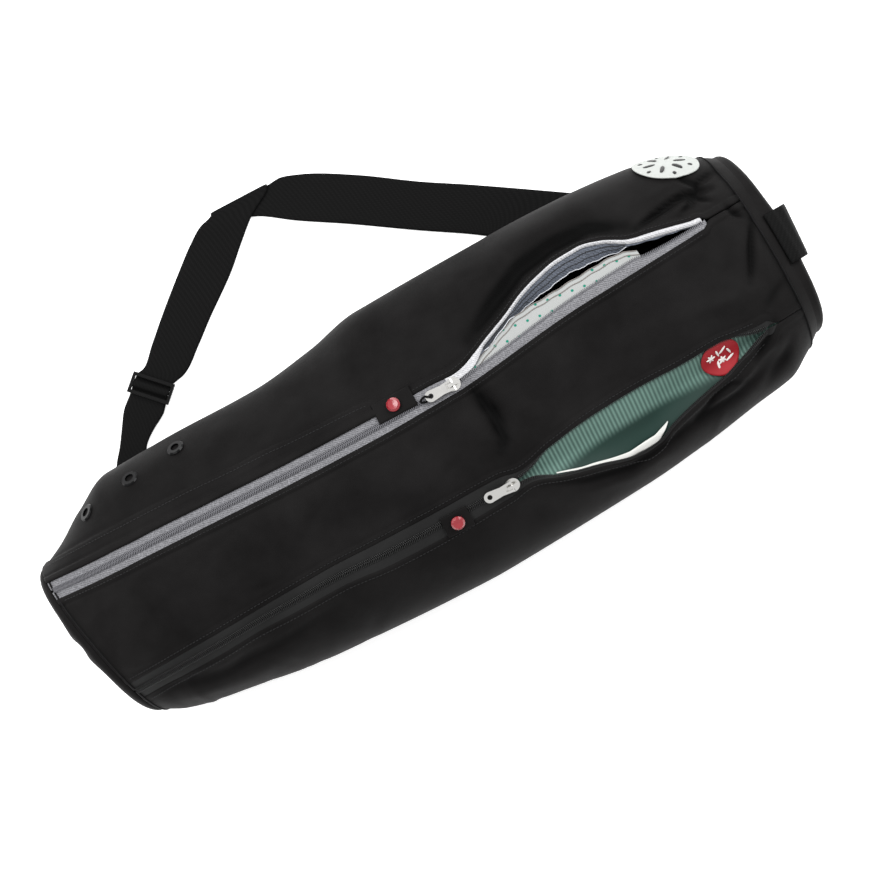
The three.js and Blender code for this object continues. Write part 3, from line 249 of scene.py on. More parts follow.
CREASES = (
    Crease(((0.574, 0.085), (0.582, -0.023), (0.577, -0.108), (0.564, -0.14)), -6.5, 5.5),
    Crease(((0.548, 0.06), (0.55, -0.03), (0.545, -0.1)), 2.2, 13.0),
    Crease(((0.6, 0.07), (0.61, -0.03), (0.6, -0.11)), 1.6, 10.0),
    Crease(((0.6, 0.215), (0.65, 0.275), (0.7, 0.33), (0.75, 0.345), (0.8, 0.33), (0.84, 0.275)), -8.0, 8.0),
    Crease(((0.62, 0.33), (0.7, 0.41), (0.8, 0.41)), 2.2, 13.0),
    Crease(((0.848, 0.25), (0.889, 0.259), (0.913, 0.266), (0.941, 0.26), (0.96, 0.247)), -6.5, 3.4),
    Crease(((0.865, 0.3), (0.91, 0.31), (0.945, 0.3)), 1.8, 7.0),
    Crease(((0.905, 0.215), (0.937, 0.244), (0.95, 0.206)), -4.0, 3.0),
    Crease(((0.941, 0.262), (0.955, 0.284), (0.977, 0.29)), -4.5, 3.0),
    Crease(((0.93, 0.33), (0.945, 0.28), (0.942, 0.25)), -4.2, 3.4),
    Crease(((0.961, 0.171), (0.964, 0.14), (0.974, 0.11)), -3.8, 3.0),
    Crease(((0.98, 0.086), (0.963, 0.024), (0.947, -0.045), (0.937, -0.085)), -5.0, 3.6),
    Crease(((0.975, 0.02), (0.965, -0.05), (0.955, -0.11)), 1.6, 6.0),
    Crease(((0.979, -0.13), (0.955, -0.155), (0.935, -0.18)), -2.2, 5.0),
    Crease(((0.94, -0.225), (0.925, -0.265), (0.9, -0.3)), -4.4, 3.6),
    Crease(((0.94, -0.267), (0.915, -0.3), (0.87, -0.34), (0.83, -0.36)), 2.2, 5.0),
    Crease(((0.91, -0.345), (0.86, -0.37), (0.81, -0.375), (0.77, -0.39)), -3.4, 4.5),
    Crease(((0.875, -0.345), (0.855, -0.33), (0.83, -0.34), (0.8, -0.37)), -3.8, 3.2),
    Crease(((0.955, -0.3), (0.935, -0.35), (0.9, -0.39)), -2.4, 5.0),
    Crease(((0.59, -0.3), (0.64, -0.36), (0.7, -0.4), (0.76, -0.39), (0.8, -0.36)), -3.4, 4.5),
    Crease(((0.62, -0.38), (0.69, -0.42), (0.76, -0.42)), 1.2, 6.0),
    Crease(((0.38, 0.36), (0.42, 0.3), (0.47, 0.26)), -2.0, 9.0),
    Crease(((0.42, 0.4), (0.47, 0.34), (0.53, 0.27)), 1.8, 10.0),
    Crease(((0.47, 0.22), (0.51, 0.3), (0.54, 0.4)), -1.8, 9.0),
    Crease(((0.03, -0.24), (0.12, -0.3), (0.2, -0.31), (0.3, -0.3)), -2.2, 6.0),
    Crease(((0.02, -0.29), (0.1, -0.34), (0.2, -0.36)), 1.6, 6.0),
    Crease(((0.33, -0.05), (0.4, -0.12), (0.45, -0.17)), -1.2, 12.0),
    Crease(((0.2, 0.05), (0.3, 0.0), (0.4, 0.02)), 0.8, 14.0),
    Crease(((0.5, -0.3), (0.56, -0.34), (0.6, -0.4)), -1.6, 7.0),
    Crease(((0.36, -0.3), (0.44, -0.35), (0.5, -0.42)), 1.2, 9.0),
)


@dataclass(frozen=True)
class SmallWrinkles:
    """Small puckers of a close woven cloth, in random places from a fixed seed."""

    count: int = 150
    seed: int = 11
    height: float = 0.55
    reach: tuple[float, float] = (14.0, 46.0)
    spread: tuple[float, float] = (3.0, 7.5)

    def lift(self, along: Array, y: Array) -> Array:
        """Sum of long narrow bells, each turned its own way."""
        rng = np.random.default_rng(self.seed)
        sum_of = np.zeros(along.shape)
        x = along * BODY_LENGTH
        places_x = rng.uniform(0, BODY_LENGTH, self.count)
        places_y = rng.uniform(-0.5, 0.5, self.count) * BODY_WIDTH
        turns = rng.normal(0.25, 0.75, self.count)
        reaches = rng.uniform(*self.reach, self.count)
        spreads = rng.uniform(*self.spread, self.count)
        heights = rng.normal(0, self.height, self.count)
        for k in range(self.count):
            dx = x - places_x[k]
            dy = y - places_y[k]
            forward = (dx * math.cos(turns[k]) + dy * math.sin(turns[k])) / reaches[k]
            aside = (dy * math.cos(turns[k]) - dx * math.sin(turns[k])) / spreads[k]
            sum_of += heights[k] * np.exp(-(forward**2) - aside**2)
        return sum_of


@dataclass(frozen=True)
class Outlines:
    """Outlines of the sections at several places along, one row each."""

    y: Array
    z: Array
    run: Array
    middle: Array
    height: Array
    left: Array
    right: Array


@dataclass(frozen=True)
class Hull:
    """The bag's outer surface as a function of the place along and the run round each section."""

    steps: int = 480
    wrinkles: SmallWrinkles = field(default_factory=SmallWrinkles)

    def sections(self, along: Array) -> Outlines:
        """Outlines of the sections.

        Each is a rounded box: a power of the cosine across and of the sine up, more square below its
        widest line than above it, and pressed flat where it would pass through the floor.

        Args:
            along: places along the body, as shares.

        Returns:
            The outlines, with the length run up to each point.
        """
        left = BODY_WIDTH * curve(SECTIONS, 1)(along)[:, None]
        right = BODY_WIDTH * curve(SECTIONS, 2)(along)[:, None]
        height = BODY_HEIGHT * curve(SECTIONS, 3)(along)[:, None]
        middle = WIDEST_AT * height
        angle = np.linspace(0, 2 * np.pi, self.steps + 1)[None, :]
        c, s = np.cos(angle), np.sin(angle)
        above = np.arange(self.steps + 1)[None, :] <= self.steps / 2
        power = np.where(above, 2 / TOP_POWER, 2 / BOTTOM_POWER)
        y = np.sign(c) * np.where(c > 0, left, right) * np.abs(c) ** power
        rise = np.abs(s) ** power
        below = np.maximum(0, middle - (middle + FLOOR_PRESS) * rise)
        z = np.where(above, middle + (height - middle) * rise, below)
        step = np.hypot(np.diff(y, axis=1), np.diff(z, axis=1))
        run = np.concatenate([np.zeros((len(along), 1)), np.cumsum(step, axis=1)], axis=1)
        return Outlines(y, z, run, middle, height, left, right)

    def run_at(self, along: Array, y: Array) -> Array:
        """Run along each section to the point of its upper half that lies at y across."""
        s = self.sections(along)
        reach = np.where(y > 0, s.left, s.right)
        c = np.sign(y) * np.minimum(1, np.abs(y) / reach) ** (TOP_POWER / 2)
        k = np.arccos(c) / (2 * np.pi) * self.steps
        i = np.minimum(np.floor(k).astype(int), self.steps - 1)
        rows = np.arange(len(along))[:, None]
        return s.run[rows, i] + (s.run[rows, i + 1] - s.run[rows, i]) * (k - i)

    def folds(self, along: Array, y: Array) -> Array:
        """Height of the large folds, each a bell longer than it is wide."""
        sum_of = np.zeros(np.broadcast_shapes(along.shape, y.shape))
        for at, across, heading, reach, spread, height in FOLDS:
            dx = (along - at) * BODY_LENGTH
            dy = y - across * BODY_WIDTH
            turn = math.radians(heading)
            forward = (dx * math.cos(turn) + dy * math.sin(turn)) / (reach * BODY_WIDTH)
            aside = (dy * math.cos(turn) - dx * math.sin(turn)) / (spread * BODY_WIDTH)
            sum_of = sum_of + height * BODY_HEIGHT * np.exp(-(forward**2) - aside**2)
        return sum_of

    def relief(self, along: Array, y: Array) -> Array:
        """Height of the creases and of the small wrinkles."""
        inside = 1 - smoothstep(np.abs(y) / BODY_WIDTH, 0.4, 0.47)
        sum_of = self.wrinkles.lift(along, y) * (0.2 + 0.8 * inside)
        for crease in CREASES:
            sum_of = sum_of + crease.lift(along, y)
        return sum_of

    def crease_shade(self, points: Array) -> Array:
        """Painted shade of each point, from 0 to 1, on the upper half only: how deep in a crease it lies,
        plus a darker line along the top seam.
        """
        along = (points[..., 0] - BASE_X) / BODY_LENGTH
        sum_of = np.zeros(along.shape)
        for crease in CREASES:
            if crease.height < -2:
                sum_of = sum_of - replace(crease, spread=crease.spread * 0.8).lift(along, points[..., 1])
        # The top seam's dark line: partly the seam's own dark joint, partly painted shade in its groove
        seam = 0.8 * np.exp(-(((along - TOP_SEAM) / 0.005) ** 2))
        return np.clip(sum_of / 3.2 + seam, 0, 1) * smoothstep(points[..., 2], 40.0, 70.0)

    def place(self, along: Array, run: Array, lift: Array | float = 0.0) -> Array:
        """Points of the surface, lifted along the section's own normal.

        Args:
            along: one place along for each row.
            run: rows of runs round the section.
            lift: height of each point over the cloth.

        Returns:
            Rows of points in millimetres.
        """
        s = self.sections(along)
        rows = np.arange(len(along))[:, None]
        total = s.run[:, -1:]
        big = 4000.0  # longer than any run, so that the rows' runs don't mix
        flat = (s.run + rows * big).ravel()

        def outline(wanted: Array) -> tuple[Array, Array]:
            """Y and z of each run, between the two outline points beside it."""
            wrapped = np.mod(wanted, total)
            keys = (wrapped + rows * big).ravel()
            found = np.searchsorted(flat, keys, side="right").reshape(wanted.shape) - 1
            i = np.clip(found - rows * (self.steps + 1), 0, self.steps - 1)
            u = (wrapped - s.run[rows, i]) / np.maximum(s.run[rows, i + 1] - s.run[rows, i], 1e-9)
            return (
                s.y[rows, i] + (s.y[rows, i + 1] - s.y[rows, i]) * u,
                s.z[rows, i] + (s.z[rows, i + 1] - s.z[rows, i]) * u,
            )

        y, z = outline(run)
        y_before, z_before = outline(run - 4)
        y_after, z_after = outline(run + 4)
        ty, tz = y_after - y_before, z_after - z_before
        size = np.maximum(np.hypot(ty, tz), 1e-9)
        place = np.broadcast_to(along[:, None], y.shape)
        above = smoothstep(z, s.middle, s.height)
        flank = smoothstep(z, 8.0, 40.0)
        end = smoothstep(place, 0.0, 0.02)
        out = lift + above * self.folds(place, y) + flank * end * self.relief(place, y)
        across = y + out * tz / size
        up = z - out * ty / size
        skew = BASE_SKEW * np.maximum(0, 1 - place / 0.45) ** 1.5
        x = BASE_X + BODY_LENGTH * place - skew * across
        return np.stack([x, across, up], axis=-1)

    def at(self, along: Array, y: Array, lift: Array | float = 0.0) -> Array:
        """Points of the upper half at scattered places, one row of three numbers each."""
        run = self.run_at(along, np.asarray(y, float)[:, None])
        lifts = np.broadcast_to(np.asarray(lift, float), along.shape)[:, None]
        return self.place(along, run, lifts)[:, 0, :]

    def frame(self, along: float, y: float, heading: float = 0.0, lift: float = 0.0) -> tuple[Array, Array]:
        """Axes on the upper half: X along the heading, Z out of the cloth.

        Args:
            along: place along the body.
            y: place across.
            heading: turn about the normal, in degrees.
            lift: height of the origin.

        Returns:
            The origin, and the three axes as rows.
        """
        step = 6 / BODY_LENGTH
        four = self.at(np.array([along + step, along - step, along]), np.array([y, y, y]))
        run = self.run_at(np.array([along]), np.array([[y]]))
        sides = self.place(np.array([along]), run + np.array([[-6.0, 6.0]]))[0]
        ahead = four[0] - four[1]
        aside = sides[0] - sides[1]
        up = unit(np.cross(ahead, aside))
        forward = unit(ahead - up * ahead.dot(up))
        turn = math.radians(heading)
        forward = forward * math.cos(turn) + np.cross(up, forward) * math.sin(turn)
        return four[2] + up * lift, np.stack([forward, np.cross(up, forward), up])


HULL = Hull()


@dataclass(frozen=True)
class ZipLines:
    """Edges of the cloth and of the tapes beside both zips, as functions of the place along."""

    closing: float = 0.014
    gape: tuple[float, float] = (15.5, 22)  # width in millimetres at which the main zip counts as open
    main_opens: tuple[float, float] = (0.79, 0.83)
    main_closes: tuple[float, float] = (0.925, 0.935)
    side_opens: float = 0.06
    side_closes: float = 0.05

    def edge(self, table: Array, end: float, along: Array, side: int) -> Array:
        """Edge of the cloth beside a zip, which closes to a seam past the zip's end."""
        upper = BODY_WIDTH * curve(table, 1)(along)
        lower = BODY_WIDTH * curve(table, 2)(along)
        shut = smoothstep(along, end, end + self.closing)
        return (upper + lower) / 2 + side * blend_between((upper - lower) / 2, GAP / 2, shut)

    def main_edge(self, along: Array, side: int) -> Array:
        """Edge of the cloth beside the main zip."""
        return self.edge(MAIN_ZIP, MAIN_ZIP_END, along, side)

    def main_middle(self, along: Array) -> Array:
        """Middle line between the main zip's two edges."""
        return (self.main_edge(along, 1) + self.main_edge(along, -1)) / 2

    def main_open(self, along: Array) -> Array:
        """How far the main zip is open, from 0 to 1: by its gape near the slider, and wholly near its end."""
        width = self.main_edge(along, 1) - self.main_edge(along, -1)
        near_end = smoothstep(along, *self.main_opens) * (1 - smoothstep(along, *self.main_closes))
        return np.maximum(smoothstep(width, *self.gape), near_end)

    def side_edge(self, along: Array, side: int) -> Array:
        """Edge of the cloth beside the side zip."""
        return self.edge(SIDE_ZIP, SIDE_ZIP_END, along, side)

    def side_middle(self, along: Array) -> Array:
        """Middle line between the side zip's two edges."""
        return (self.side_edge(along, 1) + self.side_edge(along, -1)) / 2

    def side_open(self, along: Array) -> Array:
        """How far the side zip is open, from 0 to 1."""
        starts = smoothstep(along, SIDE_SLIDER_AT, SIDE_SLIDER_AT + self.side_opens)
        return starts * (1 - smoothstep(along, SIDE_ZIP_END - self.side_closes, SIDE_ZIP_END))


LINES = ZipLines()


def to_linear(code: str) -> tuple[float, float, float, float]:
    """Turns an sRGB colour written as six hex digits into linear red, green, blue and full alpha."""
    channels = [int(code[i : i + 2], 16) / 255 for i in (0, 2, 4)]
    linear = [c / 12.92 if c <= 0.04045 else ((c + 0.055) / 1.055) ** 2.4 for c in channels]
    return (linear[0], linear[1], linear[2], 1.0)


def add_node(
    tree: bpy.types.NodeTree,
    kind: str,
    settings: dict[str, Any] | None = None,
    inputs: dict[Any, Any] | None = None,
) -> bpy.types.Node:
    """Adds a node with its settings and its inputs.

    Args:
        tree: the material's node tree.
        kind: the node's type without its ShaderNode prefix.
        settings: attributes of the node.
        inputs: values or sockets for its inputs, by name or number.

    Returns:
        The new node.
    """
    node = tree.nodes.new("ShaderNode" + kind)
    for key, value in (settings or {}).items():
        setattr(node, key, value)
    for key, value in (inputs or {}).items():
        if isinstance(value, bpy.types.NodeSocket):
            tree.links.new(value, node.inputs[key])
        else:
            node.inputs[key].default_value = value
    return node


def math_of(tree: bpy.types.NodeTree, operation: str, *values: Any) -> bpy.types.NodeSocket:
    """The result of a Math node of the given operation on numbers or sockets."""
    return add_node(tree, "Math", {"operation": operation}, dict(enumerate(values))).outputs[0]


def texture(
    tree: bpy.types.NodeTree,
    kind: str,
    vector: bpy.types.NodeSocket,
    scale: float,
    settings: dict[str, Any] | None = None,
    **inputs: float,
) -> bpy.types.NodeSocket:
    """The grey value of a noise or wave texture at a vector."""
    return add_node(tree, "Tex" + kind, settings, {"Vector": vector, "Scale": scale, **inputs}).outputs["Fac"]


def bands(tree: bpy.types.NodeTree, way: str, pitch: float, **inputs: float) -> bpy.types.NodeSocket:
    """Soft bands over the cloth, a pitch apart in millimetres, across X, Y or the diagonal."""
    uv = add_node(tree, "UVMap").outputs["UV"]
    return texture(tree, "Wave", uv, WAVE_PERIOD / pitch, {"bands_direction": way}, **inputs)


def ramp(
    tree: bpy.types.NodeTree,
    value: bpy.types.NodeSocket,
    source: tuple[float, float] = (0.0, 1.0),
    target: tuple[float, float] = (0.0, 1.0),
    way: str = "LINEAR",
) -> bpy.types.NodeSocket:
    """A value mapped from its source range to a target range."""
    ends = {"From Min": source[0], "From Max": source[1], "To Min": target[0], "To Max": target[1]}
    return add_node(tree, "MapRange", {"interpolation_type": way}, {"Value": value, **ends}).outputs["Result"]


def mixed(tree: bpy.types.NodeTree, fac: bpy.types.NodeSocket, *colours: Any) -> bpy.types.NodeSocket:
    """A colour between two colours, each a socket or six hex digits."""
    dark, light = (to_linear(c) if isinstance(c, str) else c for c in colours)
    return add_node(tree, "Mix", {"data_type": "RGBA"}, {"Factor": fac, 6: dark, 7: light}).outputs[2]


CREASE_SHADE_LAYER = "painted_crease_shade"  # attribute of painted shade: how deep in a crease each point lies, which darkens the cloth there
# Colour that the painted shade in creases darkens the cloth towards
CREASE_SHADE_COLOUR = "020202"
WAVE_PERIOD = 0.314159  # period of Blender's band wave at scale 1, in units of its vector


@dataclass(frozen=True)
class Finish:
    """A plain finish that the others build on."""

    name: str
    colour: str
    roughness: float = 0.5
    metallic: float = 0.0
    specular: float = 0.5
    sheen: float = 0.0
    coat: float = 0.0

    def material(self) -> bpy.types.Material:
        """The Blender material, with this finish's pattern on it."""
        made = bpy.data.materials.new(self.name)
        made.use_nodes = True
        tree = made.node_tree
        shader = tree.nodes["Principled BSDF"]
        shader.inputs["Base Color"].default_value = to_linear(self.colour)
        shader.inputs["Roughness"].default_value = self.roughness
        shader.inputs["Metallic"].default_value = self.metallic
        shader.inputs["Specular IOR Level"].default_value = self.specular
        shader.inputs["Sheen Weight"].default_value = self.sheen
        shader.inputs["Sheen Roughness"].default_value = 0.45
        shader.inputs["Coat Weight"].default_value = self.coat
        shader.inputs["Coat Roughness"].default_value = 0.12
        made.diffuse_color = to_linear(self.colour)
        self.pattern(tree, shader)
        return made

    def pattern(self, tree: bpy.types.NodeTree, shader: bpy.types.Node) -> None:
        """Puts the finish's own pattern on the shader; a plain finish has fine uneven gloss."""
        place = add_node(tree, "TexCoord").outputs["Object"]
        noise = texture(tree, "Noise", place, 180.0, Detail=3.0)
        low = max(self.roughness - 0.06, 0.02)
        gloss = ramp(tree, noise, target=(low, self.roughness + 0.08))
        tree.links.new(gloss, shader.inputs["Roughness"])

    def bump(
        self, tree: bpy.types.NodeTree, shader: bpy.types.Node, height: Any, depth: float, strength: float
    ) -> None:
        """Raises the shading by a height from 0 to 1 times depth, in metres."""
        made = add_node(tree, "Bump", None, {"Height": height, "Distance": depth, "Strength": strength})
        tree.links.new(made.outputs["Normal"], shader.inputs["Normal"])


@dataclass(frozen=True)
class WovenFinish(Finish):
    """Close woven cloth: threads both ways, and soft larger unevenness."""

    thread: float = 1.2  # drawn coarser than the real 0.35 mm, so that it shows
    depth: float = 0.12
    light: str = "2c2b2c"
    fold: float = 0.0  # how much painted shade darkens the deepest creases

    def pattern(self, tree: bpy.types.NodeTree, shader: bpy.types.Node) -> None:
        """Two crossed waves of the thread spacing, with cloud shaped light and dark patches, and painted
        shade in the creases when fold is set.
        """
        weave = math_of(tree, "MULTIPLY", bands(tree, "X", self.thread), bands(tree, "Y", self.thread))
        place = add_node(tree, "TexCoord").outputs["Object"]
        clouds = texture(tree, "Noise", place, 14.0, Detail=4.0, Roughness=0.6)
        crumple = texture(tree, "Noise", place, 45.0, Detail=3.0, Distortion=0.6)
        shade = mixed(tree, ramp(tree, clouds, (0.35, 0.7)), self.colour, self.light)
        # Painted shade: darkens the colour towards the crease shade colour where the crease attribute is deep
        if self.fold:
            depth = add_node(tree, "Attribute", {"attribute_name": CREASE_SHADE_LAYER}).outputs["Fac"]
            shade = mixed(tree, math_of(tree, "MULTIPLY", depth, self.fold), shade, CREASE_SHADE_COLOUR)
        tree.links.new(shade, shader.inputs["Base Color"])
        height = math_of(tree, "MULTIPLY_ADD", crumple, 4.0, weave)
        self.bump(tree, shader, height, self.depth / 1000, 0.55)
        gloss = ramp(tree, crumple, target=(self.roughness - 0.05, self.roughness + 0.09))
        tree.links.new(gloss, shader.inputs["Roughness"])


@dataclass(frozen=True)
class WebbingFinish(Finish):
    """Flat webbing: lengthwise ribs crossed by its picks."""

    rib: float = 1.6
    pick: float = 1.2
    light: str = "1c1c1c"

    def pattern(self, tree: bpy.types.NodeTree, shader: bpy.types.Node) -> None:
        """Ribs along the strap times picks across it, the picks shifted by half on every other rib."""
        ribs = bands(tree, "X", self.rib)
        picks = bands(tree, "DIAGONAL", self.pick * 2)
        height = math_of(tree, "MULTIPLY_ADD", ribs, 1.0, picks)
        self.bump(tree, shader, height, 0.00012, 0.4)
        fac = math_of(tree, "MULTIPLY", ribs, picks)
        tree.links.new(mixed(tree, fac, self.colour, self.light), shader.inputs["Base Color"])


@dataclass(frozen=True)
class TapeFinish(Finish):
    """Zip tape: a twill whose threads glint, the glints painted into its colour as a fine light grain."""

    light: str = "bcbcc0"
    dark: str = "4c4c51"
    twill: float = 1.2  # drawn coarser than the real 0.5 mm, so that it shows

    def pattern(self, tree: bpy.types.NodeTree, shader: bpy.types.Node) -> None:
        """Slanted bands of the twill across the tape broken up by a fine grain of painted glints."""
        uv = add_node(tree, "UVMap").outputs["UV"]
        twill = bands(tree, "DIAGONAL", self.twill, Distortion=1.5, Detail=2.0)
        # Painted glints: a fine grain of lighter flecks over the twill
        grain = add_node(tree, "TexVoronoi", None, {"Vector": uv, "Scale": 1.1}).outputs["Distance"]
        fac = math_of(tree, "MULTIPLY_ADD", grain, 0.9, math_of(tree, "MULTIPLY", twill, 0.4))
        tree.links.new(mixed(tree, fac, self.dark, self.light), shader.inputs["Base Color"])
        self.bump(tree, shader, fac, 0.0003, 0.6)


@dataclass(frozen=True)
class RibbedFinish(Finish):
    """Grey-green lining with ribs across it on its upper part, lightened there by painted highlight on the
    ribs, smooth and darkened below by painted shade.
    """

    # Colours of the lit ribs' painted highlight and of the painted shade low in the pocket
    light: str = "789a8f"
    dark: str = "17302a"
    pitch: float = 3.7
    shade_fade: tuple[float, float] = (27.0, 38.0)  # millimetres across over which the ribs and their painted highlight fade into the painted shade below

    def pattern(self, tree: bpy.types.NodeTree, shader: bpy.types.Node) -> None:
        """Bands across the cloth, lighter on the ribs as painted highlight; the share across fades them and
        the colour into painted shade.
        """
        uv = add_node(tree, "UVMap").outputs["UV"]
        parts = add_node(tree, "SeparateXYZ", None, {"Vector": uv})
        across = parts.outputs["Y"]
        angle = math_of(tree, "MULTIPLY", parts.outputs["X"], 2 * math.pi / self.pitch)
        waves = math_of(tree, "MULTIPLY_ADD", math_of(tree, "SINE", angle), 0.5, 0.5)
        # 1 on the lit upper part, 0 in the painted shade below
        upper = ramp(tree, across, self.shade_fade, (1.0, 0.0), "SMOOTHSTEP")
        ribs = math_of(tree, "MULTIPLY", waves, upper)
        base = math_of(tree, "MULTIPLY", upper, 0.3)
        fac = math_of(tree, "MULTIPLY_ADD", ribs, 0.5, base)
        tree.links.new(mixed(tree, fac, self.dark, self.light), shader.inputs["Base Color"])
        self.bump(tree, shader, ribs, 0.0009, 0.7)


@dataclass(frozen=True)
class DottedFinish(Finish):
    """White cotton with rows of small teal dots."""

    dot: str = "157a66"
    pitch: float = 11.0
    size: float = 1.25
    turn: float = -10.7
    start: tuple[float, float] = (0.0, 0.5)

    def pattern(self, tree: bpy.types.NodeTree, shader: bpy.types.Node) -> None:
        """Dots on a turned square lattice: teal where a cell's middle is nearer than the dot's half size."""
        uv = add_node(tree, "UVMap").outputs["UV"]
        parts = add_node(tree, "SeparateXYZ", None, {"Vector": uv})
        c = math.cos(math.radians(self.turn)) / self.pitch
        s = math.sin(math.radians(self.turn)) / self.pitch
        across = math_of(tree, "MULTIPLY", parts.outputs["Y"], s)
        column = math_of(tree, "MULTIPLY_ADD", parts.outputs["X"], c, across)
        along = math_of(tree, "MULTIPLY", parts.outputs["X"], -s)
        row = math_of(tree, "MULTIPLY_ADD", parts.outputs["Y"], c, along)
        dx, dy = (
            math_of(tree, "SUBTRACT", math_of(tree, "FRACT", math_of(tree, "ADD", cell, start)), 0.5)
            for cell, start in zip((column, row), self.start)
        )
        square = math_of(tree, "MULTIPLY_ADD", dx, dx, math_of(tree, "MULTIPLY", dy, dy))
        away = math_of(tree, "MULTIPLY", math_of(tree, "SQRT", square), self.pitch)
        fac = ramp(tree, away, (self.size - 0.3, self.size + 0.3))
        tree.links.new(mixed(tree, fac, self.dot, self.colour), shader.inputs["Base Color"])
        noise = texture(tree, "Noise", uv, 0.9, Detail=3.0)
        self.bump(tree, shader, noise, 0.0003, 0.5)


# Coated nylon, plain woven and calendered: nearly black, with a soft broad sheen on its folds, and painted
# shade that darkens its creases
NYLON = WovenFinish(
    "black_coated_nylon_woven", "100f0f", 0.6, specular=0.05, sheen=0.02, light="1a1919", fold=0.9
)
# The same cloth's cut and folded edges, a little duller
EDGE_NYLON = WovenFinish("black_nylon_folded_edge", "0e0e0e", 0.66, specular=0.1, light="141314")
# Polypropylene webbing, woven in ribs: flat black that catches little light
BLACK_WEBBING = WebbingFinish("black_polypropylene_webbing", "0c0c0c", 0.65, specular=0.06, light="141414")
# Polyester tape with a grey reflective print over its twill
SILVER_TAPE = TapeFinish(
    "silver_reflective_zip_tape", "646468", 0.55, specular=0.25, light="86868a", dark="28282c"
)
# The same tape where it is rolled over and faces the light, painted lighter as a painted highlight
HIGHLIGHT_TAPE = TapeFinish(
    "rolled_zip_tape_painted_highlight", "c0c0c4", 0.4, specular=0.4, light="d2d2d4", dark="8a8a90"
)
# Back of the same tape: grey-blue and matt
TAPE_BACK = TapeFinish("grey_zip_tape_back", "666b75", 0.7, light="5a606c", dark="181b20", twill=1.4)
# Black polyester tape
BLACK_TAPE = WovenFinish("black_polyester_zip_tape", "121212", 0.7, specular=0.25, light="1c1c1c")
# Extruded coil of grey polyester, moulded smooth
SILVER_COIL = Finish("grey_polyester_zip_coil", "66666b", 0.4)
BLACK_COIL = Finish("black_polyester_zip_coil", "101010", 0.35)
# Zinc casting, barrel polished and nickel plated: bright and slightly warm
NICKEL = Finish("nickel_plated_zinc", "e6e5e2", 0.2, metallic=1.0)
# Acetal, injection moulded with a polished face
ACETAL = Finish("black_moulded_acetal", "070707", 0.4, specular=0.1)
# Brass eyelet under black stove enamel
ENAMEL = Finish("black_enamelled_eyelet", "060607", 0.3, specular=0.16)
# Brass snap cap under red lacquer
RED_LACQUER = Finish("red_lacquered_snap", "8f1522", 0.25, coat=0.8)
# Polyester patch, woven tight and white
WHITE_PATCH = WovenFinish("white_woven_patch", "aeb1ae", 0.75, light="b6b9b6", thread=1.0)
BLACK_THREAD = Finish("black_embroidery_thread", "141414", 0.5, sheen=0.2)
SEAM_THREAD = Finish("black_seam_thread", "1d1d1e", 0.5, specular=0.2)
WHITE_THREAD = Finish("white_embroidery_thread", "e4e2de", 0.6)
HEM_THREAD = Finish("grey_hem_thread", "7c7672", 0.6)
PALE_THREAD = Finish("pale_overlock_thread", "c9cbd0", 0.5)
DARK_THREAD = Finish("dark_stitching_thread", "14161b", 0.5)
WHITE_EDGING = WovenFinish("white_cotton_edging", "d8d8d4", 0.8, light="e6e6e2", thread=1.0)
DOTTED_COTTON = DottedFinish("white_cotton_with_teal_dots", "a4a6a5", 0.8, specular=0.2)
# Green ribbed polyester lining: painted highlight on its upper ribs, painted shade over its lower part
GREEN_LINING = RibbedFinish("green_ribbed_polyester_lining", "3d5f54", 0.6, specular=0.3)
RED_LABEL = WovenFinish("red_woven_label", "8c0c18", 0.7, light="a81320", thread=1.0)


def mesh_object(name: str, points: Array, quads: Array, uv: Array, triangles: Array | None = None) -> Any:
    """Makes a mesh object in the frame from whole arrays.

    Args:
        name: the piece's name.
        points: vertices in millimetres in the bag's own frame.
        quads: rows of four vertex numbers.
        uv: two numbers for each vertex, in millimetres over the cloth.
        triangles: rows of three vertex numbers.

    Returns:
        The new object, smooth shaded.
    """
    mesh = bpy.data.meshes.new(name)
    verts = (points.reshape(-1, 3) + ORIGIN) / 1000
    faces = [quads.reshape(-1, 4)]
    if triangles is not None:
        faces.append(triangles.reshape(-1, 3))
    loops = np.concatenate([f.ravel() for f in faces]).astype(np.int32)
    sizes = np.concatenate([np.full(len(f), f.shape[1]) for f in faces])
    starts = np.concatenate([[0], np.cumsum(sizes)[:-1]]).astype(np.int32)
    mesh.vertices.add(len(verts))
    mesh.vertices.foreach_set("co", verts.astype(np.float32).ravel())
    mesh.loops.add(len(loops))
    mesh.loops.foreach_set("vertex_index", loops)
    mesh.polygons.add(len(starts))
    mesh.polygons.foreach_set("loop_start", starts)
    mesh.update(calc_edges=True)
    layer = mesh.uv_layers.new(name="cloth")
    layer.data.foreach_set("uv", uv.reshape(-1, 2)[loops].astype(np.float32).ravel())
    mesh.polygons.foreach_set("use_smooth", np.ones(len(starts), bool))
    mesh.validate()
    made = bpy.data.objects.new(name, mesh)
    bpy.context.scene.collection.objects.link(made)
    return made


def grid_quads(rows: int, columns: int, ring: bool = False) -> Array:
    """Vertex numbers of the faces of a grid; a ring's last column joins its first."""
    across = columns if ring else columns - 1
    i, j = np.meshgrid(np.arange(rows - 1) * columns, np.arange(across), indexing="ij")
    nxt = (j + 1) % columns
    return np.stack([i + j, i + nxt, i + columns + nxt, i + columns + j], -1).reshape(-1, 4)


def fan(sides: int) -> Array:
    """Vertex numbers of the triangles that close a ring."""
    later = np.arange(1, sides - 1)
    return np.stack([np.zeros(sides - 2, int), later, later + 1], -1)


def facing_out(points: Array, quads: Array) -> Array:
    """The faces turned so that the closed mesh's volume is positive."""
    p = points.reshape(-1, 3)
    a, b, c, d = (p[quads[:, k]] for k in range(4))
    volume = np.einsum("ij,ij->", a, np.cross(b, c)) + np.einsum("ij,ij->", a, np.cross(c, d))
    return quads[:, ::-1] if volume < 0 else quads


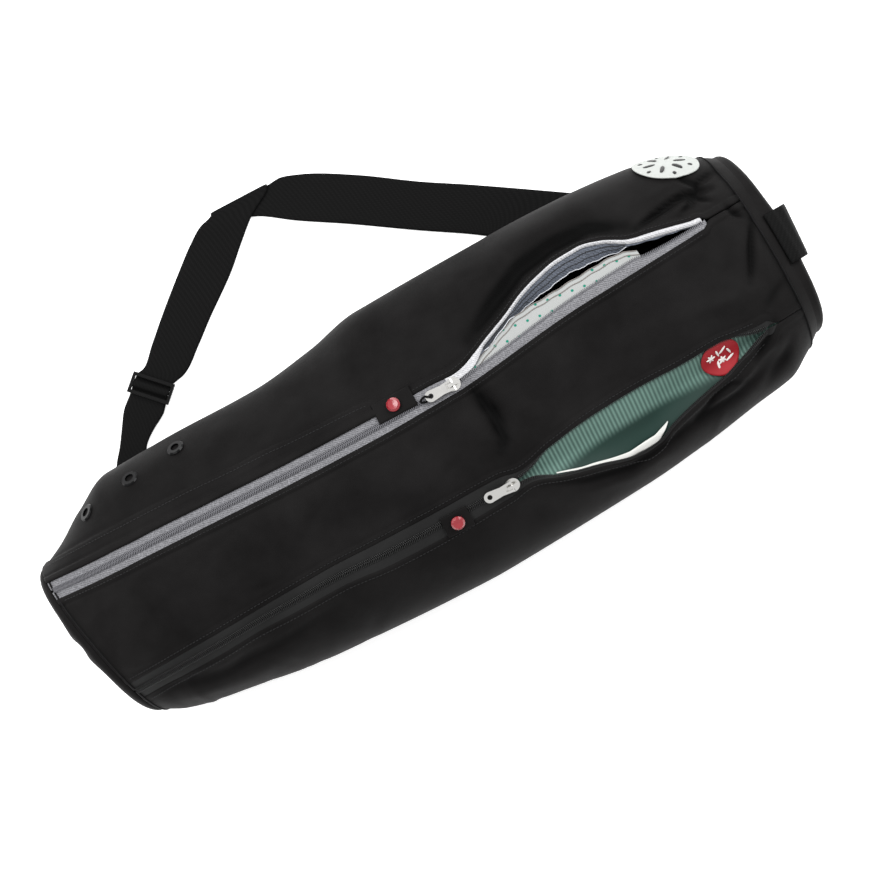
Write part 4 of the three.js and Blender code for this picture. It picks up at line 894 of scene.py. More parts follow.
def closed_sheet(name: str, outer: Array, inner: Array, uv: Array) -> Any:
    """A closed sheet between two grids of points.

    Args:
        name: the piece's name.
        outer: rows and columns of points of one face.
        inner: the same of the other face.
        uv: two numbers for each point of a face.

    Returns:
        The new object.
    """
    rows, columns = outer.shape[:2]
    count = rows * columns
    front = grid_quads(rows, columns)
    back = front[:, ::-1] + count
    left = np.arange(rows - 1) * columns
    right = left + columns - 1
    top = np.arange(columns - 1)
    low = (rows - 1) * columns + top
    rims = [
        np.stack([left, left + columns, left + columns + count, left + count], -1),
        np.stack([right, right + count, right + columns + count, right + columns], -1),
        np.stack([top, top + count, top + 1 + count, top + 1], -1),
        np.stack([low, low + 1, low + 1 + count, low + count], -1),
    ]
    quads = np.concatenate([front, back, *rims])
    points = np.concatenate([outer.reshape(-1, 3), inner.reshape(-1, 3)])
    return mesh_object(name, points, facing_out(points, quads), np.concatenate([uv.reshape(-1, 2)] * 2))


def closed_dome(name: str, outer: Array, inner: Array, uv: Array) -> Any:
    """A closed shell between two grids of rings, whose first ring is the rim and whose last is the middle.

    Args:
        name: the piece's name.
        outer: rings of points of one face.
        inner: the same of the other face.
        uv: two numbers for each point of both faces.

    Returns:
        The new object.
    """
    rows, sides = outer.shape[:2]
    count = rows * sides
    front = grid_quads(rows, sides, ring=True)
    side = np.arange(sides)
    nxt = (side + 1) % sides
    rim = np.stack([side, side + count, nxt + count, nxt], -1)
    middle = (rows - 1) * sides + fan(sides)
    points = np.concatenate([outer.reshape(-1, 3), inner.reshape(-1, 3)])
    quads = np.concatenate([front, front[:, ::-1] + count, rim])
    tips = np.concatenate([middle, middle[:, ::-1] + count])
    turned = facing_out(points, quads)
    if not np.array_equal(turned, quads):
        tips = tips[:, ::-1]
    return mesh_object(name, points, turned, uv, tips)


def cloth_sheet(
    name: str, along: Array, y: Array, lift: Array, thick: float, over: Array | None = None
) -> Any:
    """A closed sheet over the body.

    Args:
        name: the piece's name.
        along: places along the body.
        y: rows of places across.
        lift: lift of each point over the cloth.
        thick: its thickness.
        over: millimetres across the cloth at each point, when they aren't y.

    Returns:
        The new object.
    """
    run = HULL.run_at(along, y)
    outer = HULL.place(along, run, lift)
    inner = HULL.place(along, run, lift - thick)
    across = y if over is None else over
    uv = np.stack(np.broadcast_arrays(along[:, None] * BODY_LENGTH, across), -1)
    return closed_sheet(name, outer, inner, uv)


def paint_crease_shade(piece: Any, *skins: Array) -> None:
    """Stores on a panel the painted shade of its creases: how deep in a crease each of its points lies."""
    depth = np.concatenate([HULL.crease_shade(skin).ravel() for skin in skins])
    layer = piece.data.attributes.new(CREASE_SHADE_LAYER, "FLOAT", "POINT")
    layer.data.foreach_set("value", depth.astype(np.float32))


def tube(name: str, path: Array, width: float, tall: float, up: Array, sides: int) -> Any:
    """A closed tube of oval section along a path.

    Args:
        name: the piece's name.
        path: rows of points.
        width: full width across.
        tall: full height.
        up: direction of the height at each point.
        sides: number of faces round it.

    Returns:
        The new object, closed by rounded ends.
    """
    ahead = unit(np.gradient(path, axis=0))
    aside = unit(np.cross(up, ahead))
    over = np.cross(ahead, aside)
    angle = 2 * np.pi * np.arange(sides) / sides
    share = np.ones(len(path))
    share[0] = share[-1] = 0.02
    half_width = (width * share / 2)[:, None, None]
    half_tall = (tall * share / 2)[:, None, None]
    ring = aside[:, None, :] * np.cos(angle)[None, :, None] * half_width
    ring = ring + over[:, None, :] * np.sin(angle)[None, :, None] * half_tall
    points = (path[:, None, :] + ring).reshape(-1, 3)
    quads = grid_quads(len(path), sides, ring=True)
    caps = np.concatenate([fan(sides)[:, ::-1], fan(sides) + (len(path) - 1) * sides])
    run = np.concatenate([[0], np.cumsum(np.linalg.norm(np.diff(path, axis=0), axis=1))])
    uv = np.stack(np.broadcast_arrays(angle[None, :] * 2, run[:, None]), -1).reshape(-1, 2)
    turned = facing_out(points, quads)
    if not np.array_equal(turned, quads):
        caps = caps[:, ::-1]
    return mesh_object(name, points, turned, uv, caps)


def wear(piece: Any, finish: Finish) -> None:
    """Gives an object its finish."""
    material = bpy.data.materials.get(finish.name) or finish.material()
    piece.data.materials.clear()
    piece.data.materials.append(material)


def dress(piece: Any, finish: Finish, nodes: tuple[str, ...] = ()) -> Any:
    """Gives a piece its finish and hides the CAD nodes that it stands for; each rides on the root.

    Args:
        piece: the Blender object.
        finish: its finish.
        nodes: CAD nodes that it replaces.

    Returns:
        The same piece.
    """
    wear(piece, finish)
    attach(piece, "root")
    if nodes:
        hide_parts(*nodes)
    LOG.info("%s: %d faces, %s", piece.name, len(piece.data.polygons), finish.name)
    return piece


def many(name: str, shape: Array, quads: Array, origins: Array, axes: Array) -> Any:
    """Copies of one small closed shape on many frames, as one mesh.

    Args:
        name: the piece's name.
        shape: the shape's points.
        quads: its faces.
        origins: one point for each copy.
        axes: three axes for each copy.

    Returns:
        The new object.
    """
    points = np.einsum("vk,nkx->nvx", shape, axes) + origins[:, None, :]
    faces = facing_out(shape @ axes[0], quads)
    every = (faces[None] + (np.arange(len(origins)) * len(shape))[:, None, None]).reshape(-1, 4)
    return mesh_object(name, points.reshape(-1, 3), every, np.zeros((points.size // 3, 2)))


def capsule(length: float, width: float, tall: float) -> tuple[Array, Array]:
    """A small closed rounded bar along X.

    Args:
        length: along X.
        width: along Y.
        tall: along Z.

    Returns:
        Its points and its faces: rings of six points whose size follows a half ellipse along the bar.
    """
    stations = np.array([-1, -0.86, -0.4, 0.4, 0.86, 1])
    size = np.array([0.05, 0.6, 1, 1, 0.6, 0.05])
    angle = 2 * np.pi * np.arange(6) / 6
    points = np.stack(
        np.broadcast_arrays(
            stations[:, None] * length / 2,
            size[:, None] * np.cos(angle)[None] * width / 2,
            size[:, None] * np.sin(angle)[None] * tall / 2,
        ),
        -1,
    ).reshape(-1, 3)
    quads = grid_quads(6, 6, ring=True)
    ends = np.array([[0, 1, 2, 3], [0, 3, 4, 5], [33, 32, 31, 30], [35, 34, 33, 30]])
    return points, np.concatenate([quads, ends])


def path_frames(path: Array, up: Array, pitch: float) -> tuple[Array, Array]:
    """Even places along a path with their axes.

    Args:
        path: rows of points.
        up: normal at each point.
        pitch: distance between places.

    Returns:
        Origins, and for each the axes ahead, aside and up.
    """
    run = np.concatenate([[0], np.cumsum(np.linalg.norm(np.diff(path, axis=0), axis=1))])
    at = np.arange(pitch / 2, run[-1], pitch)
    origin = np.stack([np.interp(at, run, path[:, k]) for k in range(3)], -1)
    normal = unit(np.stack([np.interp(at, run, up[:, k]) for k in range(3)], -1))
    later = np.stack([np.interp(at + 0.5, run, path[:, k]) for k in range(3)], -1)
    sooner = np.stack([np.interp(at - 0.5, run, path[:, k]) for k in range(3)], -1)
    ahead = unit(later - sooner)
    ahead = unit(ahead - normal * np.sum(ahead * normal, -1, keepdims=True))
    return origin, np.stack([ahead, np.cross(normal, ahead), normal], 1)


def cloth_path(along: Array, y: Array, lift: Array | float) -> tuple[Array, Array]:
    """A line on the cloth and the cloth's normal along it."""
    low = HULL.at(along, y, lift)
    high = HULL.at(along, y, np.asarray(lift) + 2)
    return low, unit(high - low)


def stitches(name: str, along: Array, y: Array, lift: float, finish: Finish = SEAM_THREAD) -> Any:
    """A row of stitches along a line on the cloth, each a small rounded bar."""
    path, up = cloth_path(along, y, lift)
    origins, axes = path_frames(path, up, 3.4)
    shape, quads = capsule(2.6, 0.8, 0.6)
    return dress(many(name, shape, quads, origins, axes), finish)


def pointed_bars(
    name: str, base: Array, tip: Array, high: Array, size: tuple[float, float, float], finish: Finish
) -> None:
    """Small rounded bars on the points base, each along the way to its tip and with its top towards high."""
    forward = unit(tip - base)
    up = unit(high - base)
    shape, quads = capsule(*size)
    dress(many(name, shape, quads, base, np.stack([forward, np.cross(up, forward), up], 1)), finish)


@dataclass
class Body:
    """The two cloth panels and the two domed ends, with their seams."""

    rows: int = 210
    tuck_rise: float = 1.7
    hem: float = 6.0
    hem_rise: float = 0.7
    hem_groove: float = 0.6
    hem_roll: float = 0.9
    stitch_inset: float = 4.2
    stitch_lift: float = 0.85

    def stations(self) -> Array:
        """Places along the body, closer together at both ends."""
        share = np.linspace(0, 1, self.rows)
        return TOP_SEAM * (share - 0.05 * np.sin(2 * np.pi * share))

    def hem_lift(self, distance: Array) -> Array:
        """Rise of a folded hem by the distance from its edge, with a groove behind its stitches."""
        rise = self.hem_rise * (1 - smoothstep(distance, self.hem - 1.2, self.hem + 1.2))
        groove = -self.hem_groove * np.exp(-(((distance - self.hem - 1.5) / 1.6) ** 2))
        roll = -self.hem_roll * np.clip(1 - distance / 1.5, 0, 1) ** 2
        return rise + groove + roll

    def panel(self, name: str, node: str, along: Array, run: Array, lift: Array) -> None:
        """One panel of cloth over its runs, with painted shade darkening its creases."""
        outer = HULL.place(along, run, lift)
        inner = HULL.place(along, run, lift - CLOTH)
        uv = np.stack(np.broadcast_arrays(along[:, None] * BODY_LENGTH, run), -1)
        piece = closed_sheet(name, outer, inner, uv)
        paint_crease_shade(piece, outer, inner)
        dress(piece, NYLON, nodes=(node,))

    def back_panel(self) -> None:
        """The panel from the main zip round under the bag to the side zip."""
        along = self.stations()
        start = HULL.run_at(along, LINES.main_edge(along, 1)[:, None]) - GAP
        total = HULL.sections(along).run[:, -1:]
        end = HULL.run_at(along, LINES.side_edge(along, -1)[:, None]) + GAP - total
        share = np.concatenate([
            np.linspace(0, 0.035, 14, endpoint=False),
            np.linspace(0.035, 0.36, 66, endpoint=False),
            np.linspace(0.36, 0.62, 30, endpoint=False),
            np.linspace(0.62, 0.97, 52, endpoint=False),
            np.linspace(0.97, 1, 10),
        ])[None, :]
        run = blend_between(start, end, share)
        lift = self.hem_lift(start - run) + SIDE_HEM * self.hem_lift(run - end)
        tuck = HULL.run_at(along, (BODY_WIDTH * curve(MAIN_TUCK, 1)(along))[:, None])
        into = run - tuck
        closed = 1 - smoothstep(along, 0.455, 0.475)[:, None]
        lift = lift + closed * self.tuck_rise * smoothstep(into, 0, 1.2)
        lift = lift - closed * 0.9 * np.exp(-(((into + 1.5) / 2.2) ** 2))
        self.panel("bag_back_panel", "back_panel", along, run, lift)

    def front_panel(self) -> None:
        """The panel between the two zips."""
        along = self.stations()
        start = HULL.run_at(along, LINES.main_edge(along, -1)[:, None]) + GAP
        end = HULL.run_at(along, LINES.side_edge(along, 1)[:, None]) - GAP
        share = np.concatenate([
            np.linspace(0, 0.12, 9, endpoint=False),
            np.linspace(0.12, 0.88, 34, endpoint=False),
            np.linspace(0.88, 1, 10),
        ])
        run = blend_between(start, end, share[None, :])
        lift = self.hem_lift(run - start) + SIDE_HEM * self.hem_lift(end - run)
        self.panel("bag_front_panel", "front_panel", along, run, lift)

    def cap(self, name: str, end: float, bulge: float, node: str) -> None:
        """A domed end: rings shrink towards the middle while a power curve carries them outwards.

        Args:
            name: the piece's name.
            end: 0 for the base and 1 for the top.
            bulge: how far the dome stands out.
            node: the CAD node that it replaces.
        """
        sides = 200
        rings = np.array([
            1, 0.996, 0.985, 0.97, 0.95, 0.92, 0.88, 0.82, 0.74, 0.64, 0.53, 0.42, 0.3, 0.18, 0.07, 0.015,
        ])
        along = np.array([end])
        outline = HULL.sections(along)
        run = (outline.run[0, -1] * np.arange(sides) / sides)[None]
        rim = HULL.place(along, run)[0]
        heart_y = float(outline.left[0, 0] - outline.right[0, 0]) / 2
        heart_z = float(outline.height[0, 0]) / 2
        top = end > 0.5
        power = TOP_CAP_POWER if top else BASE_CAP_POWER
        outward = 1 if top else -1
        skew = 0 if top else BASE_SKEW
        skirt = np.linspace(TOP_SEAM + 0.0006, 1, 9)[:-1] if top else np.zeros(0)
        dome = (1 - rings**power) ** (1 / power)
        angle = 2 * np.pi * np.arange(sides) / sides
        wave = np.sin(angle * 9 + 1.3 * np.sin(angle * 4))[None]
        pucker = wave * np.sin(np.pi * rings)[:, None] * 1.1
        away = np.hypot(rim[:, 1] - heart_y, rim[:, 2] - heart_z)
        skins = []
        for inset in (0.0, CLOTH):
            share = rings[:, None] * (away - inset)[None] / away[None]
            y = heart_y + (rim[:, 1] - heart_y)[None] * share
            z = heart_z + (rim[:, 2] - heart_z)[None] * share
            out = GAP + (bulge - inset) * dome[:, None] - pucker - 0.6
            x = BASE_X + BODY_LENGTH * end - skew * y + outward * out
            skin = np.stack([x, y, z], -1)
            if top:
                runs = HULL.sections(skirt).run[:, -1:] * np.arange(sides)[None] / sides
                skin = np.concatenate([HULL.place(skirt, runs, np.full(runs.shape, -inset)), skin])
            skins.append(skin)
        uv = np.concatenate([skin.reshape(-1, 3)[:, 1:3] for skin in skins])
        dress(closed_dome(name, *skins, uv), NYLON, nodes=(node,))

    def seams(self) -> None:
        """Piped seams round both ends, and the stitches of the hems and of the tuck."""
        points = 241
        floor = 1.4
        for name, end in (("base_seam_piping", 0.004), ("top_seam_piping", TOP_SEAM)):
            along = np.array([end])
            run = np.linspace(0, HULL.sections(along).run[0, -1], points)
            ring = HULL.place(along, run[None])[0]
            ring[:, 2] = np.maximum(ring[:, 2], floor)
            outward = np.tile(np.array([1.0, 0.0, 0.0]), (points, 1))
            dress(tube(name, ring, 2.2, 1.8, outward, 8), EDGE_NYLON)
        closed = np.linspace(0.012, 0.452, 260)
        tuck = BODY_WIDTH * curve(MAIN_TUCK, 1)(closed) - 4.5
        stitches("tuck_stitches", closed, tuck, self.tuck_rise + 0.1)
        whole = np.linspace(0.01, 0.915, 420)
        for which, edge in (("main", LINES.main_edge), ("side", LINES.side_edge)):
            for side, name in SIDES:
                y = edge(whole, side) + side * self.stitch_inset
                stitches(f"{which}_hem_stitches_{name}", whole, y, self.stitch_lift)

    def build(self) -> None:
        """Makes the body."""
        self.back_panel()
        self.front_panel()
        self.cap("bag_base_end", 0.0, BASE_DOME, "base_cap")
        self.cap("bag_top_end", 1.0, TOP_DOME, "top_cap")
        self.seams()


@dataclass
class Zips:
    """Tapes, coils and heads of the two zips."""

    tape: float = 0.9
    coil_pitch: float = 1.6
    side_drop: float = 3.0
    rows: int = 300
    columns: int = 13

    def ribbon(
        self,
        name: str,
        along: Array,
        edges: tuple[Array, Array],
        lifts: Array,
        finish: Finish,
        nodes: tuple[str, ...] = (),
    ) -> None:
        """A tape between two lines across the body.

        Args:
            name: the piece's name.
            along: places along the body.
            edges: y of both edges at each place.
            lifts: lift of each column at each place.
            finish: its finish.
            nodes: CAD nodes that it replaces.
        """
        y = blend_between(edges[0][:, None], edges[1][:, None], self.across())
        dress(cloth_sheet(name, along, y, lifts, self.tape), finish, nodes=nodes)

    def across(self) -> Array:
        """Shares of a tape's width at its columns of points."""
        return np.linspace(0, 1, self.columns)[None, :]

    def coil(
        self,
        name: str,
        along: Array,
        y: Array,
        lift: Array | float,
        side: int,
        finish: Finish,
        nodes: tuple[str, ...] = (),
    ) -> None:
        """A row of coil turns on a tape's edge, each a small rounded bar across it."""
        path, up = cloth_path(along, y, lift)
        origins, axes = path_frames(path, up, self.coil_pitch)
        turned = np.stack([axes[:, 1], -axes[:, 0], axes[:, 2]], 1)
        slant = math.radians(14 * side)
        ahead = turned[:, 0] * math.cos(slant) + turned[:, 1] * math.sin(slant)
        aside = np.cross(turned[:, 2], ahead)
        shape, quads = capsule(2 * COIL_HALF, 0.95, 1.5)
        piece = many(name, shape, quads, origins, np.stack([ahead, aside, turned[:, 2]], 1))
        dress(piece, finish, nodes=nodes)

    def closed_coils(
        self,
        zip_name: str,
        until: float,
        middle: Callable[[Array], Array],
        lift: float,
        finish: Finish,
    ) -> None:
        """Both coils of a zip, meshed up to its slider."""
        closed = np.linspace(0.004, until - 0.006, 300)
        for side, name in SIDES:
            nodes = (f"{zip_name}_zip_teeth",) if side > 0 else ()
            line = middle(closed) + side * 1.0
            self.coil(f"{zip_name}_coil_{name}", closed, line, lift, side, finish, nodes)

    def lower_tape(self) -> None:
        """The lower silver tape: half of the closed zip, and a flat ribbed band past the slider."""
        along = np.linspace(0, MAIN_ZIP_END + 0.008, self.rows)
        edge = LINES.main_edge(along, -1)
        opened = LINES.main_open(along)
        inner = blend_between(LINES.main_middle(along) - 1.2, edge + curve(LOWER_TAPE, 1)(along), opened)
        lifts = -GAP + 0.5 * np.sin(np.pi * self.across()) * opened[:, None]
        sides = (edge - 1.0, inner)
        self.ribbon(
            "main_zip_tape_lower", along, sides, lifts, SILVER_TAPE, ("main_tape_lower",)
        )
        free = np.linspace(MAIN_SLIDER_AT + 0.01, MAIN_ZIP_END + 0.004, 260)
        line = LINES.main_edge(free, -1) + curve(LOWER_TAPE, 1)(free)
        self.coil("main_coil_open_lower", free, line, -0.2, -1, SILVER_COIL)

    def upper_tape(self) -> None:
        """The upper silver tape: flat up to the slider, and past it a roll painted lighter as a painted
        highlight, with a band turned in.
        """
        share = self.across()
        shut = np.linspace(0, MAIN_SLIDER_AT, 160)
        sides = (LINES.main_edge(shut, 1) + 1.0, LINES.main_middle(shut) + 1.2)
        flat = -GAP + 0 * share
        self.ribbon(
            "main_zip_tape_upper", shut, sides, flat, SILVER_TAPE, ("main_tape_upper",)
        )
        free = np.linspace(MAIN_SLIDER_AT - 0.004, MAIN_ZIP_END + 0.004, 260)
        opened = LINES.main_open(free)
        edge = LINES.main_edge(free, 1)
        width = 2.1 + 1.9 * smoothstep(free, 0.8, 0.86)
        inner = blend_between(LINES.main_middle(free) + 1.2, edge - width, opened)
        roll = opened[:, None] * (1.7 * np.sin(np.pi * share) - 0.8 * share**2)
        sides = (edge + 1.0, inner)
        # The roll wears the tape painted lighter: a painted highlight
        self.ribbon("main_zip_roll_upper", free, sides, -GAP + 0.1 + roll, HIGHLIGHT_TAPE)
        start = blend_between(LINES.main_middle(free) + 1.6, edge - width + 0.4, opened)
        stop = np.minimum(start - 0.8, curve(BAND_EDGE, 1)(free) + 0.4 * np.sin(free * 260))
        hang = smoothstep(start - stop, 1.5, 8.0)[:, None]
        drop = hang * (2.6 * share + 4.2 * share**1.5) + 1.8
        folds = 0.45 * hang * np.sin(free * 640 + 2 * np.sin(free * 90))[:, None] * share
        self.ribbon("main_zip_band_upper", free, (start, stop), folds - drop, TAPE_BACK)
        shown = hang[:, 0] > 0.05
        threads = (
            ("edge", 1.0, 0.8, PALE_THREAD),
            ("seam", 0.32, 0.9, DARK_THREAD),
            ("rib", 0.66, 0.7, DARK_THREAD),
        )
        for name, at, wide, finish in threads:
            y = blend_between(start, stop, at)[shown]
            depth = (folds - drop)[shown, round(at * (self.columns - 1))]
            path, up = cloth_path(free[shown], y, depth + 0.25)
            dress(tube(f"main_zip_band_{name}", path, wide, 0.6, up, 6), finish)

    def main_zip(self) -> None:
        """Silver tapes: closed up to the slider, and open past it."""
        self.lower_tape()
        self.upper_tape()
        self.closed_coils("main", MAIN_SLIDER_AT, LINES.main_middle, 0.4, SILVER_COIL)

    def side_zip(self) -> None:
        """Black tapes of the side zip."""
        along = np.linspace(0, SIDE_ZIP_END + 0.012, self.rows)
        opened = LINES.side_open(along)
        middle = LINES.side_middle(along)
        lifts = -GAP - opened[:, None] * self.side_drop * self.across()
        for side, name in SIDES:
            edge = LINES.side_edge(along, side)
            shut = middle + side * np.minimum(1.2, np.abs(edge - middle) / 2)
            inner = blend_between(shut, edge - side * SIDE_TAPE, opened)
            sides = (edge + side * 1.0, inner)
            nodes = (f"side_tape_{name}",)
            self.ribbon(f"side_zip_tape_{name}", along, sides, lifts, BLACK_TAPE, nodes)
        self.closed_coils("side", SIDE_SLIDER_AT, LINES.side_middle, 0.5, BLACK_COIL)
        free = np.linspace(SIDE_SLIDER_AT + 0.012, SIDE_ZIP_END - 0.004, 240)
        gape = LINES.side_open(free)
        lift = 0.3 - self.side_drop * gape
        for side, name in SIDES:
            shut = LINES.side_middle(free) + side * 1.2
            line = blend_between(shut, LINES.side_edge(free, side) - side * SIDE_TAPE, gape) + side * 0.8
            self.coil(f"side_coil_open_{name}", free, line, lift, side, BLACK_COIL)

    def heads(self) -> None:
        """Finishes of the sliders and pulls, whose shapes the CAD part gives."""
        for node in ("main_slider", "side_slider", "main_pull", "side_pull"):
            finish_node(node, NICKEL)
        finish_node("main_pull_loop", BLACK_WEBBING)

    def build(self) -> None:
        """Makes both zips."""
        self.main_zip()
        self.side_zip()
        self.heads()


def finish_node(node: str, finish: Finish) -> None:
    """Gives a CAD node that stays shown its finish."""
    wear(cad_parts[node], finish)
    LOG.info("%s: %s", node, finish.name)


@dataclass
class Linings:
    """Cloth that shows inside the two open zips."""

    thick: float = 1.0
    edging: float = 0.8
    pocket_starts: float = 0.56
    pocket_length: float = 0.39
    pocket_rim: float = 3.0
    pocket_depth: float = 12.0
    label_at: float = 0.861
    label_across: float = -0.25
    label_size: float = 37.0
    label_tall: float = 0.44

    def flap(self) -> None:
        """The dotted flap under the main zip's mouth, sewn under the lower tape, with a double hem line."""
        along = np.linspace(0.568, 0.836, 190)
        low = LINES.main_edge(along, -1) + 3.0
        bright = LINES.main_edge(along, 1) - 5.0
        high = np.minimum(curve(FLAP_HEM, 1)(along), bright)
        high = np.maximum(high + 0.35 * np.sin(along * 230), low + 1.5)
        share = np.linspace(0, 1, 41)[None, :]
        y = blend_between(low[:, None], high[:, None], share)
        away = high[:, None] - y
        hem = 0.5 * (1 - smoothstep(away, 4.2, 4.9)) - 0.45 * np.exp(-(((away - 1.2) / 0.5) ** 2))
        sway = 0.5 * np.sin(along * 130)[:, None] * share**2
        lift = -1.9 - 3.4 * smoothstep(y - low[:, None], 2.0, 20.0) + hem + sway
        piece = cloth_sheet("mouth_flap_dotted", along, y, lift, self.thick)
        dress(piece, DOTTED_COTTON, nodes=("mouth_flap",))
        for name, inset in (("edge", 0.5), ("seam", 4.6)):
            row = high - inset
            keep = row > low + 2.5
            depth = np.array([np.interp(inset, away[k, ::-1], lift[k, ::-1]) for k in range(len(along))])
            path, up = cloth_path(along[keep], row[keep], depth[keep] + 0.25)
            line = tube(f"mouth_flap_{name}_line", path, 0.85, 0.5, up, 6)
            dress(line, HEM_THREAD)

    def pocket_y(self, along: Array, share: Array) -> Array:
        """Place across of the pocket's cloth, from under the upper edge to under the lower one."""
        upper = LINES.side_edge(along, 1)[:, None] + 5.0
        return blend_between(upper, LINES.side_edge(along, -1)[:, None] - 5.0, share)

    def pocket_share(self, along: Array, y: Array) -> Array:
        """Share across the pocket's cloth at rows of y."""
        top = self.pocket_y(along, np.zeros((1, 1)))
        bottom = self.pocket_y(along, np.ones((1, 1)))
        return (y - top) / (bottom - top)

    def pocket_lift(self, along: Array, share: Array) -> Array:
        """Depth of the pocket's cloth: a lens along the opening times a wave across it, deepest low down."""
        span = np.clip((along - self.pocket_starts) / self.pocket_length, 0, 1)
        lens = np.sqrt(np.maximum(0, 1 - (2 * span - 1) ** 2))[:, None]
        wave = np.sin(np.pi * np.clip(share, 0, 1) ** 1.5) ** 0.9
        return -self.pocket_rim - self.pocket_depth * lens * wave

    def pocket(self) -> None:
        """The ribbed pocket lining and its white edging."""
        along = np.linspace(0.562, 0.948, 170)
        share = np.linspace(0, 1, 41)[None, :]
        y = self.pocket_y(along, share)
        lift = self.pocket_lift(along, share)
        lining = cloth_sheet("side_pocket_lining", along, y, lift, self.thick, y[:, :1] - y)
        dress(lining, GREEN_LINING, nodes=("side_pocket",))
        along = np.linspace(POCKET_STRIP[0, 0], POCKET_STRIP[-1, 0], 110)
        low = curve(POCKET_STRIP, 1)(along)
        wide = curve(POCKET_STRIP, 2)(along)
        y = low[:, None] + wide[:, None] * np.linspace(0, 1, 7)[None]
        lift = self.pocket_lift(along, self.pocket_share(along, y)) + 2.6
        strip = cloth_sheet("pocket_edging_white", along, y, lift, self.edging)
        dress(strip, WHITE_EDGING, nodes=("pocket_edging",))

    def label(self) -> None:
        """A red woven label on the pocket's cloth, with a plain pattern of white bars."""
        rings = np.linspace(1, 0.02, 12)[:, None]
        angle = np.linspace(0, 2 * np.pi, 49)[None, :-1]
        ahead = rings * np.cos(angle) * self.label_size / 2
        aside = rings * np.sin(angle) * self.label_size * self.label_tall

        def on(ahead: Array, aside: Array, lift: float) -> Array:
            """Points over the label's place on the pocket's cloth."""
            along = (self.label_at + ahead / BODY_LENGTH).ravel()
            y = (BODY_WIDTH * self.label_across + aside).ravel()
            share = np.clip(self.pocket_share(along, y[:, None]), 0.02, 0.98)
            return HULL.at(along, y, self.pocket_lift(along, share)[:, 0] + lift)

        faces = [on(ahead, aside, lift).reshape(*ahead.shape, 3) for lift in (1.8, 1.0)]
        uv = np.concatenate([np.stack([ahead.ravel(), aside.ravel()], -1)] * 2)
        piece = closed_dome("pocket_label_red", *faces, uv)
        dress(piece, RED_LABEL, nodes=("pocket_label",))
        # Middle and turn in degrees of each bar
        marks = np.array([
            (-8.5, 3.0, 0), (-8.5, 3.0, 60), (-8.5, 3.0, 120), (1.0, -4.5, 30), (1.0, -4.5, 90),
            (1.0, -4.5, 150), (3.5, 5.5, 35), (9.0, 1.0, 110), (-4.0, -7.0, 80), (-1.5, 4.5, 100),
            (8.0, -6.0, 20),
        ])
        turns = np.radians(marks[:, 2])
        base = on(marks[:, 0], marks[:, 1], 2.0)
        tip = on(marks[:, 0] + np.cos(turns), marks[:, 1] + np.sin(turns), 2.0)
        high = on(marks[:, 0], marks[:, 1], 4.0)
        pointed_bars("pocket_label_marks", base, tip, high, (9.0, 2.3, 0.8), WHITE_THREAD)

    def build(self) -> None:
        """Makes the linings."""
        self.flap()
        self.pocket()
        self.label()


@dataclass
class Badge:
    """The round woven patch near the top end, on the side with the strap."""

    at: float = 0.932
    run: float = 41.0
    width: float = 53.0

    def on(self, ahead: Array, up: Array, lift: Array | float) -> Array:
        """Points of the patch, given by their place from its middle."""
        along = (self.at + ahead / BODY_LENGTH).ravel()
        run = (self.run + up).ravel()[:, None]
        return HULL.place(along, run, lift + self.bridge(along, run))[:, 0]

    def bridge(self, along: Array, run: Array) -> Array:
        """The stiff patch bridges the creases under it: the depth of each groove."""
        y = HULL.place(along, run)[..., 1]
        return np.maximum(0, -HULL.relief(np.broadcast_to(along[:, None], y.shape), y))

    def build(self) -> None:
        """A disc on the cloth with an overlocked rim and a plain motif of leaves and dots."""
        rings = np.concatenate([[1.0, 0.975, 0.94], np.linspace(0.9, 0.02, 14)])[:, None]
        angle = np.linspace(0, 2 * np.pi, 73)[None, :-1]
        ahead = rings * np.cos(angle) * self.width / 2
        up = rings * np.sin(angle) * self.width / 2
        rim_rise = np.where(rings > 0.92, 0.6, 0.0)
        rise = np.broadcast_to(rim_rise, ahead.shape).ravel()[:, None]
        faces = [self.on(ahead, up, lift + rise).reshape(*ahead.shape, 3) for lift in (1.9, 0.9)]
        uv = np.concatenate([np.stack([ahead.ravel(), up.ravel()], -1)] * 2)
        piece = closed_dome("round_patch", *faces, uv)
        dress(piece, WHITE_PATCH, nodes=("round_badge",))
        turns = np.radians(np.arange(0, 360, 60.0))
        self.marks("patch_leaves", turns, 13.0, (11.0, 4.4, 0.9))
        self.marks("patch_dots", turns + math.radians(30), 20.0, (4.2, 3.4, 0.9))

    def marks(self, name: str, turns: Array, out: float, size: tuple[float, float, float]) -> None:
        """Embroidered marks in a ring round the patch's middle, each pointing outwards."""
        ahead = np.cos(turns)
        up = np.sin(turns)
        base = self.on(ahead * out, up * out, 2.1)
        tip = self.on(ahead * (out + 1), up * (out + 1), 2.1)
        high = self.on(ahead * out, up * out, 4.1)
        pointed_bars(name, base, tip, high, size, BLACK_THREAD)


